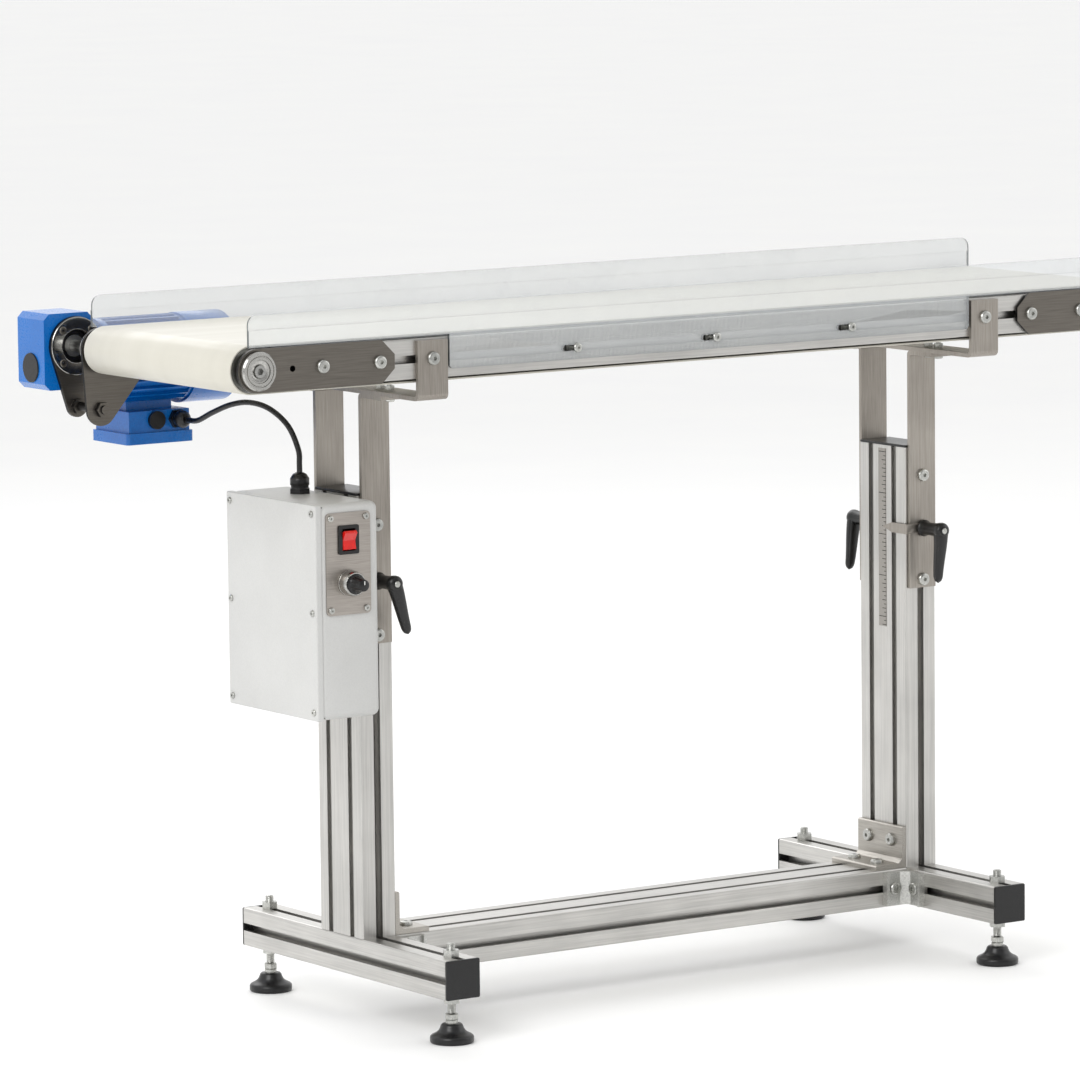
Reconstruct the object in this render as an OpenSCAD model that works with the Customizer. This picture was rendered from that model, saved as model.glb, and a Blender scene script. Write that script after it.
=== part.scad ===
// Belt conveyor section: a short flat-belt conveyor on a height-adjustable stand of slotted
// aluminium profile, driven by a worm gearmotor hung behind the drive end.
// X runs along the belt with the drive end at -X, -Y is the operator's side, +Z is up.
// The origin is on the floor, at the middle of the whole model's box.

/* [Stand] */
// Distance between the two legs
leg_spacing = 780; // [600:10:900]
// Length of each foot rail
foot_rail_len = 430; // [340:5:520]
// Side of the slotted profile
profile = 45; // [40:1:50]
// Length of each post
post_len = 510; // [430:5:600]
// Height of the foot rails' underside above the floor
foot_clear = 53; // [48:1:64]
// Width of a T-slot's mouth
slot_w = 9; // [8.6:0.1:10]
// Thickness of a T-slot's lips
slot_lip = 4.5; // [4:0.1:5.5]
// Depth of a T-slot
slot_deep = 14; // [13:0.5:15]
// Thickness of the plastic end caps
cap_t = 3; // [2:0.5:5]

/* [Feet] */
// Diameter of a levelling pad
pad_d = 50; // [40:1:60]
// Diameter of a foot's threaded stud
stud_d = 10; // [8:1:12]
// Distance of a stud from its foot rail's end
stud_inset = 22; // [20:1:60]

/* [Conveyor] */
// Height of the carrying surface above the floor
belt_top = 800; // [760:5:850]
// Distance between the two roller axes
roller_spacing = 1240; // [1100:10:1500]
// Diameter of the rollers
roller_d = 50; // [44:1:54]
// Width of the belt
belt_w = 316; // [260:2:400]
// Thickness of the belt
belt_t = 2; // [1:0.5:3]
// Distance from a belt edge to the outside of the side rail
belt_margin = 9; // [6:1:20]
// Height of a side rail
rail_h = 45; // [40:1:50]
// Thickness of a side rail
rail_t = 20; // [18:1:30]
// Thickness of the steel head and tail plates
plate_t = 4; // [3:0.5:6]
// Length of a head or tail plate past the roller axis
plate_len = 180; // [150:5:240]
// Diameter of the roller shafts
shaft_d = 14; // [12:1:18]

/* [Guards] */
// Height of the clear side guards above the belt
guard_rise = 35; // [20:1:80]
// Thickness of a guard's lower part
guard_t = 4; // [3:0.5:6]
// Thickness of a guard's upper part
guard_top_t = 2.5; // [2:0.5:3]

/* [Height adjustment] */
// Width of a lifting bar
bar_w = 38; // [30:1:44]
// Thickness of the lifting bars and support straps
bar_t = 5; // [4:0.5:6]
// Length of a lifting bar below the support strap
bar_len = 287; // [240:1:330]
// Width of a support strap along the belt
strap_w = 40; // [36:1:60]
// Gap between a lifting bar and its post
slide_gap = 0.4; // [0.3:0.1:0.8]

/* [Control box] */
// Depth of the control box along the belt
box_x = 85; // [75:1:110]
// Width of the control box across the stand
box_y = 190; // [170:2:220]
// Height of the control box
box_z = 245; // [225:1:280]
// Height of the control box's underside
box_z0 = 363; // [340:1:363]
// Wall of the control box
box_wall = 2; // [1.5:0.5:3]

/* [Gearmotor] */
// Distance from the back plate to the gear unit's torque arm
arm_gap = 50; // [44:1:70]
// Width of the gear unit along its output shaft
gear_w = 60; // [56:1:66]
// Radius of the motor over its fins
motor_r = 52; // [51:1:60]
// Length of the motor with its fan cowl
motor_len = 170; // [150:5:200]
// Diameter of the motor cable
cable_d = 6.5; // [5:0.5:8]

/* [Hidden] */
$fn = 48;

// Clearances
belt_gap = 0.3;      // belt to roller, and every other pair that slides without a fit
run_gap = 0.05;      // radial running clearance of a shaft in its bore
stud_gap = 0.1;      // radial clearance of a foot stud in its rail
seat_gap = 0.1;      // radial gap of a part seated in a round hole of its own body
head_r = 7.8;        // head of an M8 button screw, with its pressed-on flange

// Stand
leg_x = leg_spacing / 2;
rail_z = foot_clear;
deck_z = foot_clear + profile;
post_top = deck_z + post_len;
post_y = profile;               // half depth of a post, which is two cells deep
foot_y = foot_rail_len / 2 - stud_inset;
beam_len = leg_spacing - profile;

// Conveyor
roller_r = roller_d / 2;
axis_x = roller_spacing / 2;
axis_z = belt_top - belt_t - belt_gap - roller_r;
belt_in = roller_r + belt_gap;
belt_out = belt_in + belt_t;
side_y = belt_w / 2 + belt_margin;   // outer face of a side rail
plate_y = side_y + plate_t;
rail_start = 50;                     // a side rail starts this far past the roller axis
rail_len = roller_spacing - 2 * rail_start;
shaft_r = shaft_d / 2;
hub_r = 22;                          // bearing hub
hub_out = 7;                         // how far a hub stands out of its plate
plate_r = 24.5;                      // half height and end radius of a plate
plate_bolt_x = [85, 160];            // plate bolts, measured from the roller axis
spare_hole_x = 46;                   // open accessory hole of each plate
spare_hole_r = 3.5;

// Lifting gear
strap_z1 = axis_z - rail_h / 2 - 20; // top of a strap's floor, clear of the returning belt
strap_z0 = strap_z1 - bar_t;
tab_top = axis_z + 20.5;
bar_y0 = post_y + slide_gap;
bar_y1 = bar_y0 + bar_t;
bar_top = strap_z0;
bar_bottom = bar_top - bar_len;
flange_len = 42;
flange_bolts = [12, 32];             // from the bar's outer face
guide_low = bar_bottom + 10;
guide_high = guide_low + 126;
lever_z = guide_low + 62;
lever_r = 9;
lever_len = 42;
arm_len = 60;
pointer_t = 1.5;                     // pointer, and the washers under the other levers
pointer_gap = 1;

// Control box, hung on the outer face of the left post
box_gap = 2.5;
box_x1 = -leg_x - profile / 2 - box_gap;
box_x0 = box_x1 - box_x;
box_z1 = box_z0 + box_z;
panel_x = (box_x0 + box_x1) / 2;
panel_w = 59;
panel_h = 116;
panel_t = 1.5;
panel_z0 = box_z0 + 119;
panel_z1 = panel_z0 + panel_h;
panel_y = -box_y / 2 - panel_t;
switch_z = panel_z1 - 31;
knob_z = panel_z0 + 36;
switch_half = 12.5;                  // half height of the switch's opening
rocker_gap = 0.5;
rocker_tilt = 10;                    // the lower half is pressed in
panel_screw_x = panel_w / 2 - 6;
panel_screw_z = panel_h / 2 - 6;
lid_screw_y = box_y / 2 - 8;
lid_screw_z = box_z / 2 - 10;
box_bolt_z = 85;
gland_x = box_x1 - 32;
gland_y = 21;
gland_h = 24;
mains_r = 4;
mains_z = box_z0 + 37;

// Gearmotor
arm_y0 = plate_y + arm_gap;
arm_t = 5;
gear_y0 = arm_y0 + arm_t;
gear_y1 = gear_y0 + gear_w;
gear_y = (gear_y0 + gear_y1) / 2;
gear_half = 40;
gear_up = 38;
gear_down = 50;
worm_drop = 25;
motor_z = axis_z - worm_drop;
motor_x0 = -axis_x + gear_half;
motor_x1 = motor_x0 + motor_len;
cowl_r = motor_r + 0.8;
flange_t = 8;
cowl_len = 58;
cowl_x = motor_x1 - cowl_len;
quill_r = 12.5;
wheel_teeth = 20;
wheel_r = 17.7;
tooth_a = 1.5;
worm_lead = 2 * PI * wheel_r / wheel_teeth;
worm_r = 6.3;
lobe_z = -69;                        // torque bolt below the roller axis
arm_ring_r = 34;
term_x0 = motor_x0 + 26;
term_x1 = term_x0 + 81;
term_half = 37.5;
term_neck = 21;                      // half width of the neck between motor and box
term_z0 = axis_z - 119;
term_lid = 13;
term_z1 = axis_z - 81;
term_y = gear_y - term_half;
fitting_z = axis_z - 92;
plug_x = term_x0 + 36;
tgland_x = term_x0 + 64;
tgland_len = 22;

// The box of the whole model, which sets the origin
low_x = -axis_x - gear_half - 2;
high_x = axis_x + belt_out;
low_y = -foot_rail_len / 2 - cap_t;
high_y = gear_y + cowl_r;
mid_x = (low_x + high_x) / 2;
mid_y = (low_y + high_y) / 2;

// Where the four lifting bars and levers are: side of the stand in x and in y
legs = [-1, 1];

// Route of the motor cable, from the motor's gland to the gland on the control box: rises
// above the straight line, each at its share of the way, shape the arch between them
cable_from = [tgland_x, term_y - 28.5, fitting_z];
cable_to = [gland_x, gland_y + 2, box_z1 + 50];
cable_rise = [[0.11, 4], [0.26, 18], [0.44, 33], [0.61, 41], [0.78, 39], [0.92, 24], [1, 0]];
cable_span = cable_to - cable_from;
cable_route = concat([cable_from + [0, 10, 0], cable_from],
    [for (c = cable_rise) cable_from + [cable_span[0] * pow(c[0], 1.6), cable_span[1] * c[0],
        cable_span[2] * c[0] + c[1]]],
    [[gland_x, gland_y, box_z1 + 34], [gland_x, gland_y, box_z1 + 20]]);

// ---------- geometry helpers ----------

// Points of an arc about [cx, cy] from angle a0 to a1
function arc(cx, cy, r, a0, a1, n = 6) =
    [for (i = [0:n]) let (a = a0 + (a1 - a0) * i / n) [cx + r * cos(a), cy + r * sin(a)]];

// Outline of a centred rectangle w by h with corners of radius r
function round_rect(w, h, r) = concat(
    arc(w / 2 - r, h / 2 - r, r, 0, 90), arc(-w / 2 + r, h / 2 - r, r, 90, 180),
    arc(-w / 2 + r, -h / 2 + r, r, 180, 270), arc(w / 2 - r, -h / 2 + r, r, 270, 360));

// Moves the whole design so that the origin is the middle of its box on the floor
module place() { translate([-mid_x, -mid_y, 0]) children(); }

// Extrudes an outline drawn in X and Z from y0 to y1
module across(y0, y1) {
    translate([0, y1, 0]) rotate([90, 0, 0]) linear_extrude(y1 - y0) children();
}

// Extrudes an outline drawn in Y and Z from x0 to x1
module along(x0, x1) {
    translate([x0, 0, 0]) rotate([90, 0, 90]) linear_extrude(x1 - x0) children();
}

// Round bar along Y, and along X
module bar_along_y(r, y0, y1) { translate([0, y1, 0]) rotate([90, 0, 0]) cylinder(h = y1 - y0, r = r); }
module bar_along_x(r, x0, x1) { translate([x0, 0, 0]) rotate([0, 90, 0]) cylinder(h = x1 - x0, r = r); }

// A T-slot that opens at the origin towards +Y
module slot2d(lip = slot_lip, half = 10, floor_half = 6, deep = slot_deep) {
    m = slot_w / 2;
    polygon([[-m, 1], [-m, -lip], [-half, -lip], [-half, -lip - 2], [-floor_half, -deep],
        [floor_half, -deep], [half, -lip - 2], [half, -lip], [m, -lip], [m, 1]]);
}

// Section of slotted profile, nx by ny cells
module profile2d(nx, ny) {
    difference() {
        polygon(round_rect(nx * profile, ny * profile, 2));
        for (i = [0:nx - 1], s = [0, 1])
            rotate(180 * s) translate([(i - (nx - 1) / 2) * profile, ny * profile / 2]) slot2d();
        for (j = [0:ny - 1], s = [0, 1])
            rotate(90 + 180 * s) translate([(j - (ny - 1) / 2) * profile, nx * profile / 2]) slot2d();
        for (i = [0:nx - 1], j = [0:ny - 1])
            translate([(i - (nx - 1) / 2) * profile, (j - (ny - 1) / 2) * profile]) circle(r = 5);
    }
}

// Button-head screw: the head stands on z = 0 and the shank points down
module button_screw(d, len, head_r, head_h) {
    difference() {
        union() {
            translate([0, 0, -len]) cylinder(h = len, r = d / 2);
            rotate_extrude() polygon(concat([[0, 0], [head_r, 0], [head_r, head_h * 0.3]],
                [for (a = [20:20:60]) [head_r * cos(a * 0.75), head_h * (0.3 + 0.7 * sin(a * 1.5))]],
                [[0, head_h]]));
        }
        translate([0, 0, head_h * 0.35]) cylinder(h = head_h, r = d * 0.32, $fn = 6);
    }
}

// Hex nut or hex boss on z = 0
module hex_nut(af, h, bore_r) {
    difference() {
        cylinder(h = h, r = af / sqrt(3), $fn = 6);
        if (bore_r > 0) translate([0, 0, -1]) cylinder(h = h + 2, r = bore_r);
    }
}

// Sliding nut inside a T-slot whose mouth is at the origin towards +Z
module slot_nut(bore_r, lip = slot_lip, thick = 4.5) {
    translate([0, 0, -lip - 0.5 - thick]) difference() {
        translate([-6.5, -6.5, 0]) cube([13, 13, thick]);
        translate([0, 0, -1]) cylinder(h = thick + 2, r = bore_r);
    }
}

// Screw with its sliding nut, seated on a face at the origin; t is what it clamps
module slot_screw(t, lip = slot_lip) {
    translate([0, 0, t]) button_screw(8, t + lip + 4.6, head_r, 4.4);
    slot_nut(4 + seat_gap, lip);
}

// Cable gland on z = 0: hex base, round body and domed nut with a bore
module gland(af, h, bore_r) {
    difference() {
        union() {
            cylinder(h = h * 0.25, r = af / sqrt(3), $fn = 6);
            cylinder(h = h * 0.5, r = af * 0.46);
            translate([0, 0, h * 0.4]) rotate_extrude() polygon([[0, 0], [af * 0.5, 0],
                [af * 0.5, h * 0.32], [af * 0.36, h * 0.52], [bore_r + 1, h * 0.6], [0, h * 0.6]]);
        }
        translate([0, 0, -1]) cylinder(h = h + 2, r = bore_r);
    }
}

// Runs its children at each of the four lifting bars, whose outer side points to -Y
module at_bars(sides = legs) {
    for (sx = sides, sy = [0, 1]) translate([sx * leg_x, 0, 0]) rotate([0, 0, 180 * sy]) children();
}

// ---------- stand ----------

module foot_rail(side) {
    difference() {
        translate([side * leg_x, 0, rail_z + profile / 2])
            across(-foot_rail_len / 2, foot_rail_len / 2) profile2d(1, 1);
        for (s = legs) translate([side * leg_x, s * foot_y, rail_z - 1])
            cylinder(h = profile + 2, r = stud_d / 2 + stud_gap);
    }
}
module foot_rail_left() { color("silver") place() foot_rail(-1); }
module foot_rail_right() { color("silver") place() foot_rail(1); }

// Black caps on the ends of the foot rails and the tops of the posts
module profile_caps() {
    color("#1c1c1e") place() {
        for (sx = legs, s = [0, 1]) translate([sx * leg_x, 0, rail_z + profile / 2])
            rotate([0, 0, 180 * s]) across(-foot_rail_len / 2 - cap_t, -foot_rail_len / 2)
                polygon(round_rect(profile, profile, 2));
        for (sx = legs) translate([sx * leg_x, 0, post_top])
            linear_extrude(cap_t) polygon(round_rect(profile, 2 * profile, 2));
    }
}

module post(side) {
    translate([side * leg_x, 0, deck_z]) linear_extrude(post_len) profile2d(1, 2);
}
module post_left() { color("silver") place() post(-1); }
module post_right() { color("silver") place() post(1); }

// Flat beam between the foot rails, two cells wide
module base_beam() {
    color("silver") place() translate([0, 0, rail_z + profile / 2])
        along(-beam_len / 2, beam_len / 2) profile2d(2, 1);
}

// Angle plates that tie each post's inner face to the beam
bracket_t = 6;
bracket_up = 50;
bracket_out = 46;
bracket_bolt_z = 32;
bracket_bolt_x = 28;
module post_brackets() {
    color("#b9b9b6") place() for (side = legs) translate([side * (leg_x - profile / 2), 0, deck_z])
        rotate([0, 0, side > 0 ? 180 : 0]) difference() {
            across(-profile + 1, profile - 1) polygon([[0, 0], [bracket_out, 0],
                [bracket_out, bracket_t - 1.5], [bracket_out - 1.5, bracket_t], [bracket_t + 5, bracket_t],
                [bracket_t, bracket_t + 5], [bracket_t, bracket_up - 1.5], [bracket_t - 1.5, bracket_up],
                [0, bracket_up]]);
            for (s = legs) {
                translate([-1, s * profile / 2, bracket_bolt_z]) rotate([0, 90, 0])
                    cylinder(h = bracket_t + 2, r = 4 + seat_gap);
                translate([bracket_bolt_x, s * profile / 2, -1])
                    cylinder(h = bracket_t + 2, r = 4 + seat_gap);
            }
        }
}

// Cast corner brackets between the beam's sides and the foot rails
corner_leg = 36;
corner_t = 5;
corner_h = 40;
corner_bolt = 22;
module corner_brackets() {
    color("#d0d0ce") place() for (sx = legs, sy = legs)
        translate([sx * (leg_x - profile / 2), sy * profile, rail_z + profile / 2])
            mirror([sx > 0 ? 1 : 0, 0, 0]) mirror([0, sy < 0 ? 1 : 0, 0]) difference() {
                translate([0, 0, -corner_h / 2]) linear_extrude(corner_h) polygon([[0, 0],
                    [corner_leg, 0], [corner_leg, 9], [corner_leg - 4, 9], [corner_leg - 4, corner_t],
                    [14, corner_t], [corner_t, 14], [corner_t, corner_leg - 4], [9, corner_leg - 4],
                    [9, corner_leg], [0, corner_leg]]);
                translate([corner_bolt, -1, 0]) rotate([-90, 0, 0]) cylinder(h = 12, r = 4 + seat_gap);
                translate([-1, corner_bolt, 0]) rotate([0, 90, 0]) cylinder(h = 12, r = 4 + seat_gap);
            }
}

// Screws and slot nuts of the brackets, and the lock nuts of the four feet
module stand_fasteners() {
    color("gainsboro") place() {
        for (side = legs, s = legs) translate([side * (leg_x - profile / 2), s * profile / 2, deck_z]) {
            translate([0, 0, bracket_bolt_z]) rotate([0, -90 * side, 0]) slot_screw(bracket_t);
            translate([-side * bracket_bolt_x, 0, 0]) slot_screw(bracket_t);
        }
        for (sx = legs, sy = legs)
            translate([sx * (leg_x - profile / 2), sy * profile, rail_z + profile / 2]) {
                translate([-sx * corner_bolt, 0, 0]) rotate([-90 * sy, 0, 0]) slot_screw(corner_t);
                translate([0, sy * corner_bolt, 0]) rotate([0, -90 * sx, 0]) slot_screw(corner_t);
            }
        for (sx = legs, sy = legs) translate([sx * leg_x, sy * foot_y, 0]) {
            translate([0, 0, deck_z]) hex_nut(17, 8, stud_d / 2 + stud_gap);
            translate([0, 0, rail_z - 8]) hex_nut(17, 8, stud_d / 2 + stud_gap);
        }
    }
}

// Domed plastic pad and its threaded stud with a hex collar
module foot(sx, sy) {
    place() translate([sx * leg_x, sy * foot_y, 0]) {
        color("#202022") rotate_extrude() polygon(concat([[0, 0], [pad_d / 2 - 1.5, 0],
            [pad_d / 2, 2], [pad_d / 2, 7], [pad_d / 2 - 2, 9.5]],
            [[15.5, 13.5], [13, 17], [12, 20], [10, 22], [0, 22]]));
        color("gainsboro") translate([0, 0, 22]) difference() {
            union() {
                cylinder(h = 4, r = 7);
                translate([0, 0, 4]) hex_nut(14, 7, 0);
                translate([0, 0, 11]) cylinder(h = deck_z + 14 - 33, r = stud_d / 2);
                translate([0, 0, deck_z + 14 - 22]) cylinder(h = 1.5, r1 = stud_d / 2, r2 = stud_d / 2 - 1.5);
            }
            translate([0, 0, deck_z + 14 - 24]) cylinder(h = 5, r = 2, $fn = 6);
        }
    }
}
module foot_front_left() { foot(-1, -1); }
module foot_front_right() { foot(1, -1); }
module foot_back_left() { foot(-1, 1); }
module foot_back_right() { foot(1, 1); }

// Height scale on the inner face of the right post
scale_w = 14;
scale_t = 0.6;
scale_len = 216;
module height_scale() {
    color("#8d8f90") place() translate([leg_x - profile / 2 - scale_t, -scale_w / 2, post_top - 4 - scale_len])
        cube([scale_t, scale_w, scale_len]);
}

// ---------- control box ----------

module box_shell() {
    color("#c9cbcc") place() translate([0, 0, (box_z0 + box_z1) / 2]) difference() {
        along(box_x0 + box_wall, box_x1) polygon(round_rect(box_y, box_z, 4));
        along(box_x0, box_x1 - box_wall) polygon(round_rect(box_y - 2 * box_wall, box_z - 2 * box_wall, 3));
        translate([gland_x, gland_y, box_z / 2 - 5]) cylinder(h = 10, r = 8 + seat_gap);
        translate([gland_x, box_y / 2 - 5, mains_z - (box_z0 + box_z1) / 2]) rotate([-90, 0, 0])
            cylinder(h = 10, r = 8 + seat_gap);
        translate([panel_x, -box_y / 2 - 1, switch_z - (box_z0 + box_z1) / 2 - switch_half - 1])
            translate([-10.6, 0, -0.6]) cube([21.2, box_wall + 2, 2 * switch_half + 3.2]);
        translate([panel_x, 0, knob_z - (box_z0 + box_z1) / 2]) bar_along_y(6 + seat_gap, -box_y / 2 - 2, -box_y / 2 + 6);
        for (s = legs, k = legs) translate([box_x1 - 10, s * profile / 2, k * box_bolt_z]) rotate([0, 90, 0])
            cylinder(h = 20, r = 4 + seat_gap);
    }
}

// Cover plate on the outer side, with a turned rim
module box_lid() {
    color("#d2d4d5") place() translate([0, 0, (box_z0 + box_z1) / 2]) difference() {
        along(box_x0, box_x0 + box_wall) polygon(round_rect(box_y, box_z, 4));
        for (s = legs, k = [-1, 0, 1]) translate([box_x0 - 1, s * lid_screw_y, k * lid_screw_z]) rotate([0, 90, 0])
            cylinder(h = box_wall + 2, r = 2 + seat_gap);
    }
    color("#d2d4d5") place() for (s = legs, k = [-1, 0, 1])
        translate([box_x0 + box_wall, s * lid_screw_y, (box_z0 + box_z1) / 2 + k * lid_screw_z])
            difference() {
                bar_along_x(4, 0, 12);
                bar_along_x(2 + seat_gap, -1, 10);
            }
}

// Lid and panel screws, and the four spacers, screws and slot nuts that hang the box on the post
module box_fasteners() {
    color("gainsboro") place() {
        for (s = legs, k = [-1, 0, 1]) translate([box_x0, s * lid_screw_y, (box_z0 + box_z1) / 2 + k * lid_screw_z])
            rotate([0, -90, 0]) button_screw(4, 10, 3.8, 2.2);
        for (s = legs, k = legs)
            translate([panel_x + s * panel_screw_x, panel_y, (panel_z0 + panel_z1) / 2 + k * panel_screw_z])
                rotate([90, 0, 0]) button_screw(4, panel_t, 3.8, 2.2);
        for (s = legs, k = legs)
            translate([box_x1 + box_gap, s * profile / 2, (box_z0 + box_z1) / 2 + k * box_bolt_z]) rotate([0, -90, 0]) {
                difference() {
                    cylinder(h = box_gap, r = 10);
                    translate([0, 0, -1]) cylinder(h = box_gap + 2, r = 4 + seat_gap);
                }
                slot_screw(box_gap + box_wall);
            }
    }
}

module control_plate() {
    color("#a9aaa8") place() translate([panel_x, 0, (panel_z0 + panel_z1) / 2]) difference() {
        across(panel_y, -box_y / 2) polygon(round_rect(panel_w, panel_h, 5));
        translate([-10.6, panel_y - 1, switch_z - (panel_z0 + panel_z1) / 2 - switch_half - 1.6])
            cube([21.2, panel_t + 2, 2 * switch_half + 3.2]);
        translate([0, 0, knob_z - (panel_z0 + panel_z1) / 2]) bar_along_y(6 + seat_gap, panel_y - 1, -box_y / 2 + 1);
        for (s = legs, k = legs) translate([s * panel_screw_x, 0, k * panel_screw_z])
            bar_along_y(2 + seat_gap, panel_y - 1, -box_y / 2 + 1);
    }
}

// Rocker switch body: bezel outside, sleeve through the wall, and two pivot ears
module switch_frame() {
    color("#161617") place() translate([panel_x, 0, switch_z]) difference() {
        union() {
            across(panel_y - 2, panel_y) polygon(round_rect(27, 2 * switch_half + 8, 2));
            translate([-10.5, panel_y, -switch_half - 1.5]) cube([21, 22, 2 * switch_half + 3]);
        }
        translate([-8.5, panel_y - 3, -switch_half]) cube([17, 22, 2 * switch_half]);
        rotate([0, 90, 0]) translate([0, panel_y + 2, -10]) cylinder(h = 20, r = 1.5 + run_gap);
    }
}

// Red rocker: two faces in a shallow V, round ends about its pivot, and a pivot pin
rocker_r = switch_half - rocker_gap;
module switch_rocker() {
    color("#c8101a") place() translate([panel_x, panel_y + 2, switch_z]) {
        along(-8.2, 8.2) rotate(rocker_tilt) polygon(concat([[-4, 0]],
            arc(0, 0, rocker_r, 128, 110, 4), [[0, 6]], [[4, 4], [4, -4]], [[0, -6]],
            arc(0, 0, rocker_r, 250, 232, 4)));
        bar_along_x(1.5, -9.5, 9.5);
    }
}

// Speed dial: ring on the panel, threaded bush and the potentiometer behind
module speed_control() {
    color("gainsboro") place() translate([panel_x, 0, knob_z]) difference() {
        union() {
            bar_along_y(15, panel_y - 3, panel_y);
            bar_along_y(6, panel_y, -box_y / 2 + box_wall);
            bar_along_y(12, -box_y / 2 + box_wall, -box_y / 2 + box_wall + 16);
        }
        bar_along_y(3 + run_gap, panel_y - 4, -box_y / 2 + box_wall + 12);
    }
}

// Knob with a skirt and a long fluted grip, on its own spindle
module speed_knob() {
    color("#19191a") place() translate([panel_x, 0, knob_z]) {
        difference() {
            union() {
                bar_along_y(12, panel_y - 9, panel_y - 3.4);
                bar_along_y(7.5, panel_y - 30, panel_y - 9);
            }
            for (a = [0:30:330]) rotate([0, a, 0]) translate([8.2, 0, 0]) bar_along_y(1.4, panel_y - 31, panel_y - 12);
            translate([-0.7, panel_y - 31, 2]) cube([1.4, 3, 6]);
        }
        bar_along_y(3, panel_y - 3.4, -box_y / 2 + box_wall + 11);
    }
}

// Glands: the motor cable's on top, and the open mains entry in the back wall
module box_glands() {
    color("#171718") place() translate([gland_x, gland_y, 0]) {
        translate([0, 0, box_z1]) gland(22, gland_h, cable_d / 2 + seat_gap);
        translate([0, 0, box_z1 - box_wall - 5]) difference() {
            cylinder(h = box_wall + 5, r = 8);
            translate([0, 0, -1]) cylinder(h = 20, r = cable_d / 2 + seat_gap);
        }
    }
    color("#171718") place() translate([gland_x, box_y / 2, mains_z]) {
        rotate([-90, 0, 0]) gland(22, gland_h, mains_r);
        difference() {
            bar_along_y(8, -box_wall - 5, 0);
            bar_along_y(mains_r, -box_wall - 6, 1);
        }
    }
}

// Electronic speed drive on the box's back wall
module motor_drive() {
    color("#3c4146") place() translate([box_x1 - box_wall - 6, 0, 0]) {
        translate([-48, -40, box_z0 + 50]) cube([48, 110, 140]);
        for (s = legs) translate([0, 15 + s * 30, box_z0 + 60 + 55]) {
            translate([0, -4, -40]) cube([6, 8, 10]);
            translate([0, -4, 40]) cube([6, 8, 10]);
        }
    }
}

// ---------- conveyor ----------

// Side rail section, centred, with its T-slot towards +u
module side_rail2d() {
    difference() {
        polygon(round_rect(rail_t, rail_h, 1));
        translate([rail_t / 2, 0]) rotate(-90) slot2d(lip = 3, half = 8, floor_half = 8, deep = 10);
        for (s = legs) translate([0, s * (rail_h / 2 - 7)]) square([rail_t - 5, 8], center = true);
    }
}
module side_rail(sy) {
    translate([0, sy * (side_y - rail_t / 2), axis_z]) rotate([0, 0, sy > 0 ? 0 : 180])
        along(-rail_len / 2, rail_len / 2) side_rail2d();
}
module side_rail_front() { color("silver") place() side_rail(-1); }
module side_rail_back() { color("silver") place() side_rail(1); }

// Round tie bars between the rails
tie_r = 8;
module cross_ties() {
    color("#9c9ea0") place() for (i = [-2:2]) translate([i * (rail_len / 2 - 60) / 2, 0, axis_z])
        bar_along_y(tie_r, -side_y + rail_t, side_y - rail_t);
}

// Steel sheet that the belt slides on
bed_t = 2;
module slider_bed() {
    color("#a7a9ab") place()
        translate([-axis_x + 30, -belt_w / 2 + 6, axis_z + rail_h / 2])
            cube([roller_spacing - 60, belt_w - 12, bed_t]);
}

// Endless belt round both rollers
module belt() {
    color("#e9e6dc") place() translate([0, 0, axis_z]) across(-belt_w / 2, belt_w / 2) difference() {
        belt_loop(belt_out);
        belt_loop(belt_in);
    }
}
module belt_loop(r) {
    union() {
        square([roller_spacing, 2 * r], center = true);
        for (s = legs) translate([s * axis_x, 0]) circle(r = r);
    }
}

// Head or tail plate outline in X and Z from the roller axis, with the tip towards +X
function plate_outline() = concat(arc(0, 0, plate_r, 90, 270, 16),
    [[plate_len - 17, -plate_r], [plate_len, -8], [plate_len, 8], [plate_len - 17, plate_r]]);

// The same with the torque arm's lobe hanging from it
function lobed_outline() = concat(arc(0, 0, plate_r, 90, 190, 10),
    arc(0, lobe_z, 19, 185, 325, 10), [[62, -plate_r]],
    [[plate_len - 17, -plate_r], [plate_len, -8], [plate_len, 8], [plate_len - 17, plate_r]]);

module plate_holes() {
    circle(r = hub_r + seat_gap);
    translate([spare_hole_x, 0]) circle(r = spare_hole_r);
    for (x = plate_bolt_x) translate([x, 0]) circle(r = 4 + seat_gap);
}
module end_plate(sx, sy) {
    translate([sx * axis_x, 0, axis_z]) mirror([sx > 0 ? 1 : 0, 0, 0])
        across(sy > 0 ? side_y : -plate_y, sy > 0 ? plate_y : -side_y) difference() {
            polygon(plate_outline());
            plate_holes();
        }
}
module head_plate_front() { color("#77736c") place() end_plate(-1, -1); }
module head_plate_back() {
    color("#77736c") place() translate([-axis_x, 0, axis_z]) across(side_y, plate_y) difference() {
        polygon(lobed_outline());
        plate_holes();
        translate([0, lobe_z]) circle(r = 5 + seat_gap);
    }
}
module tail_plates() { color("#77736c") place() for (sy = legs) end_plate(1, sy); }

// Flanged bearing hubs in the four plates
module bearings() {
    color("#c2c2be") place() for (sx = legs, s = [0, 1])
        translate([sx * axis_x, 0, axis_z]) rotate([0, 0, 180 * s]) difference() {
            union() {
                bar_along_y(hub_r, -plate_y - hub_out, -side_y + 1);
                bar_along_y(hub_r - 6, -side_y + 1, -side_y + 5);
            }
            bar_along_y(shaft_r + run_gap, -plate_y - hub_out - 1, -side_y + 6);
            bar_along_y(13, -plate_y - hub_out - 1, -plate_y - hub_out + 1.5);
        }
}

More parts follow.
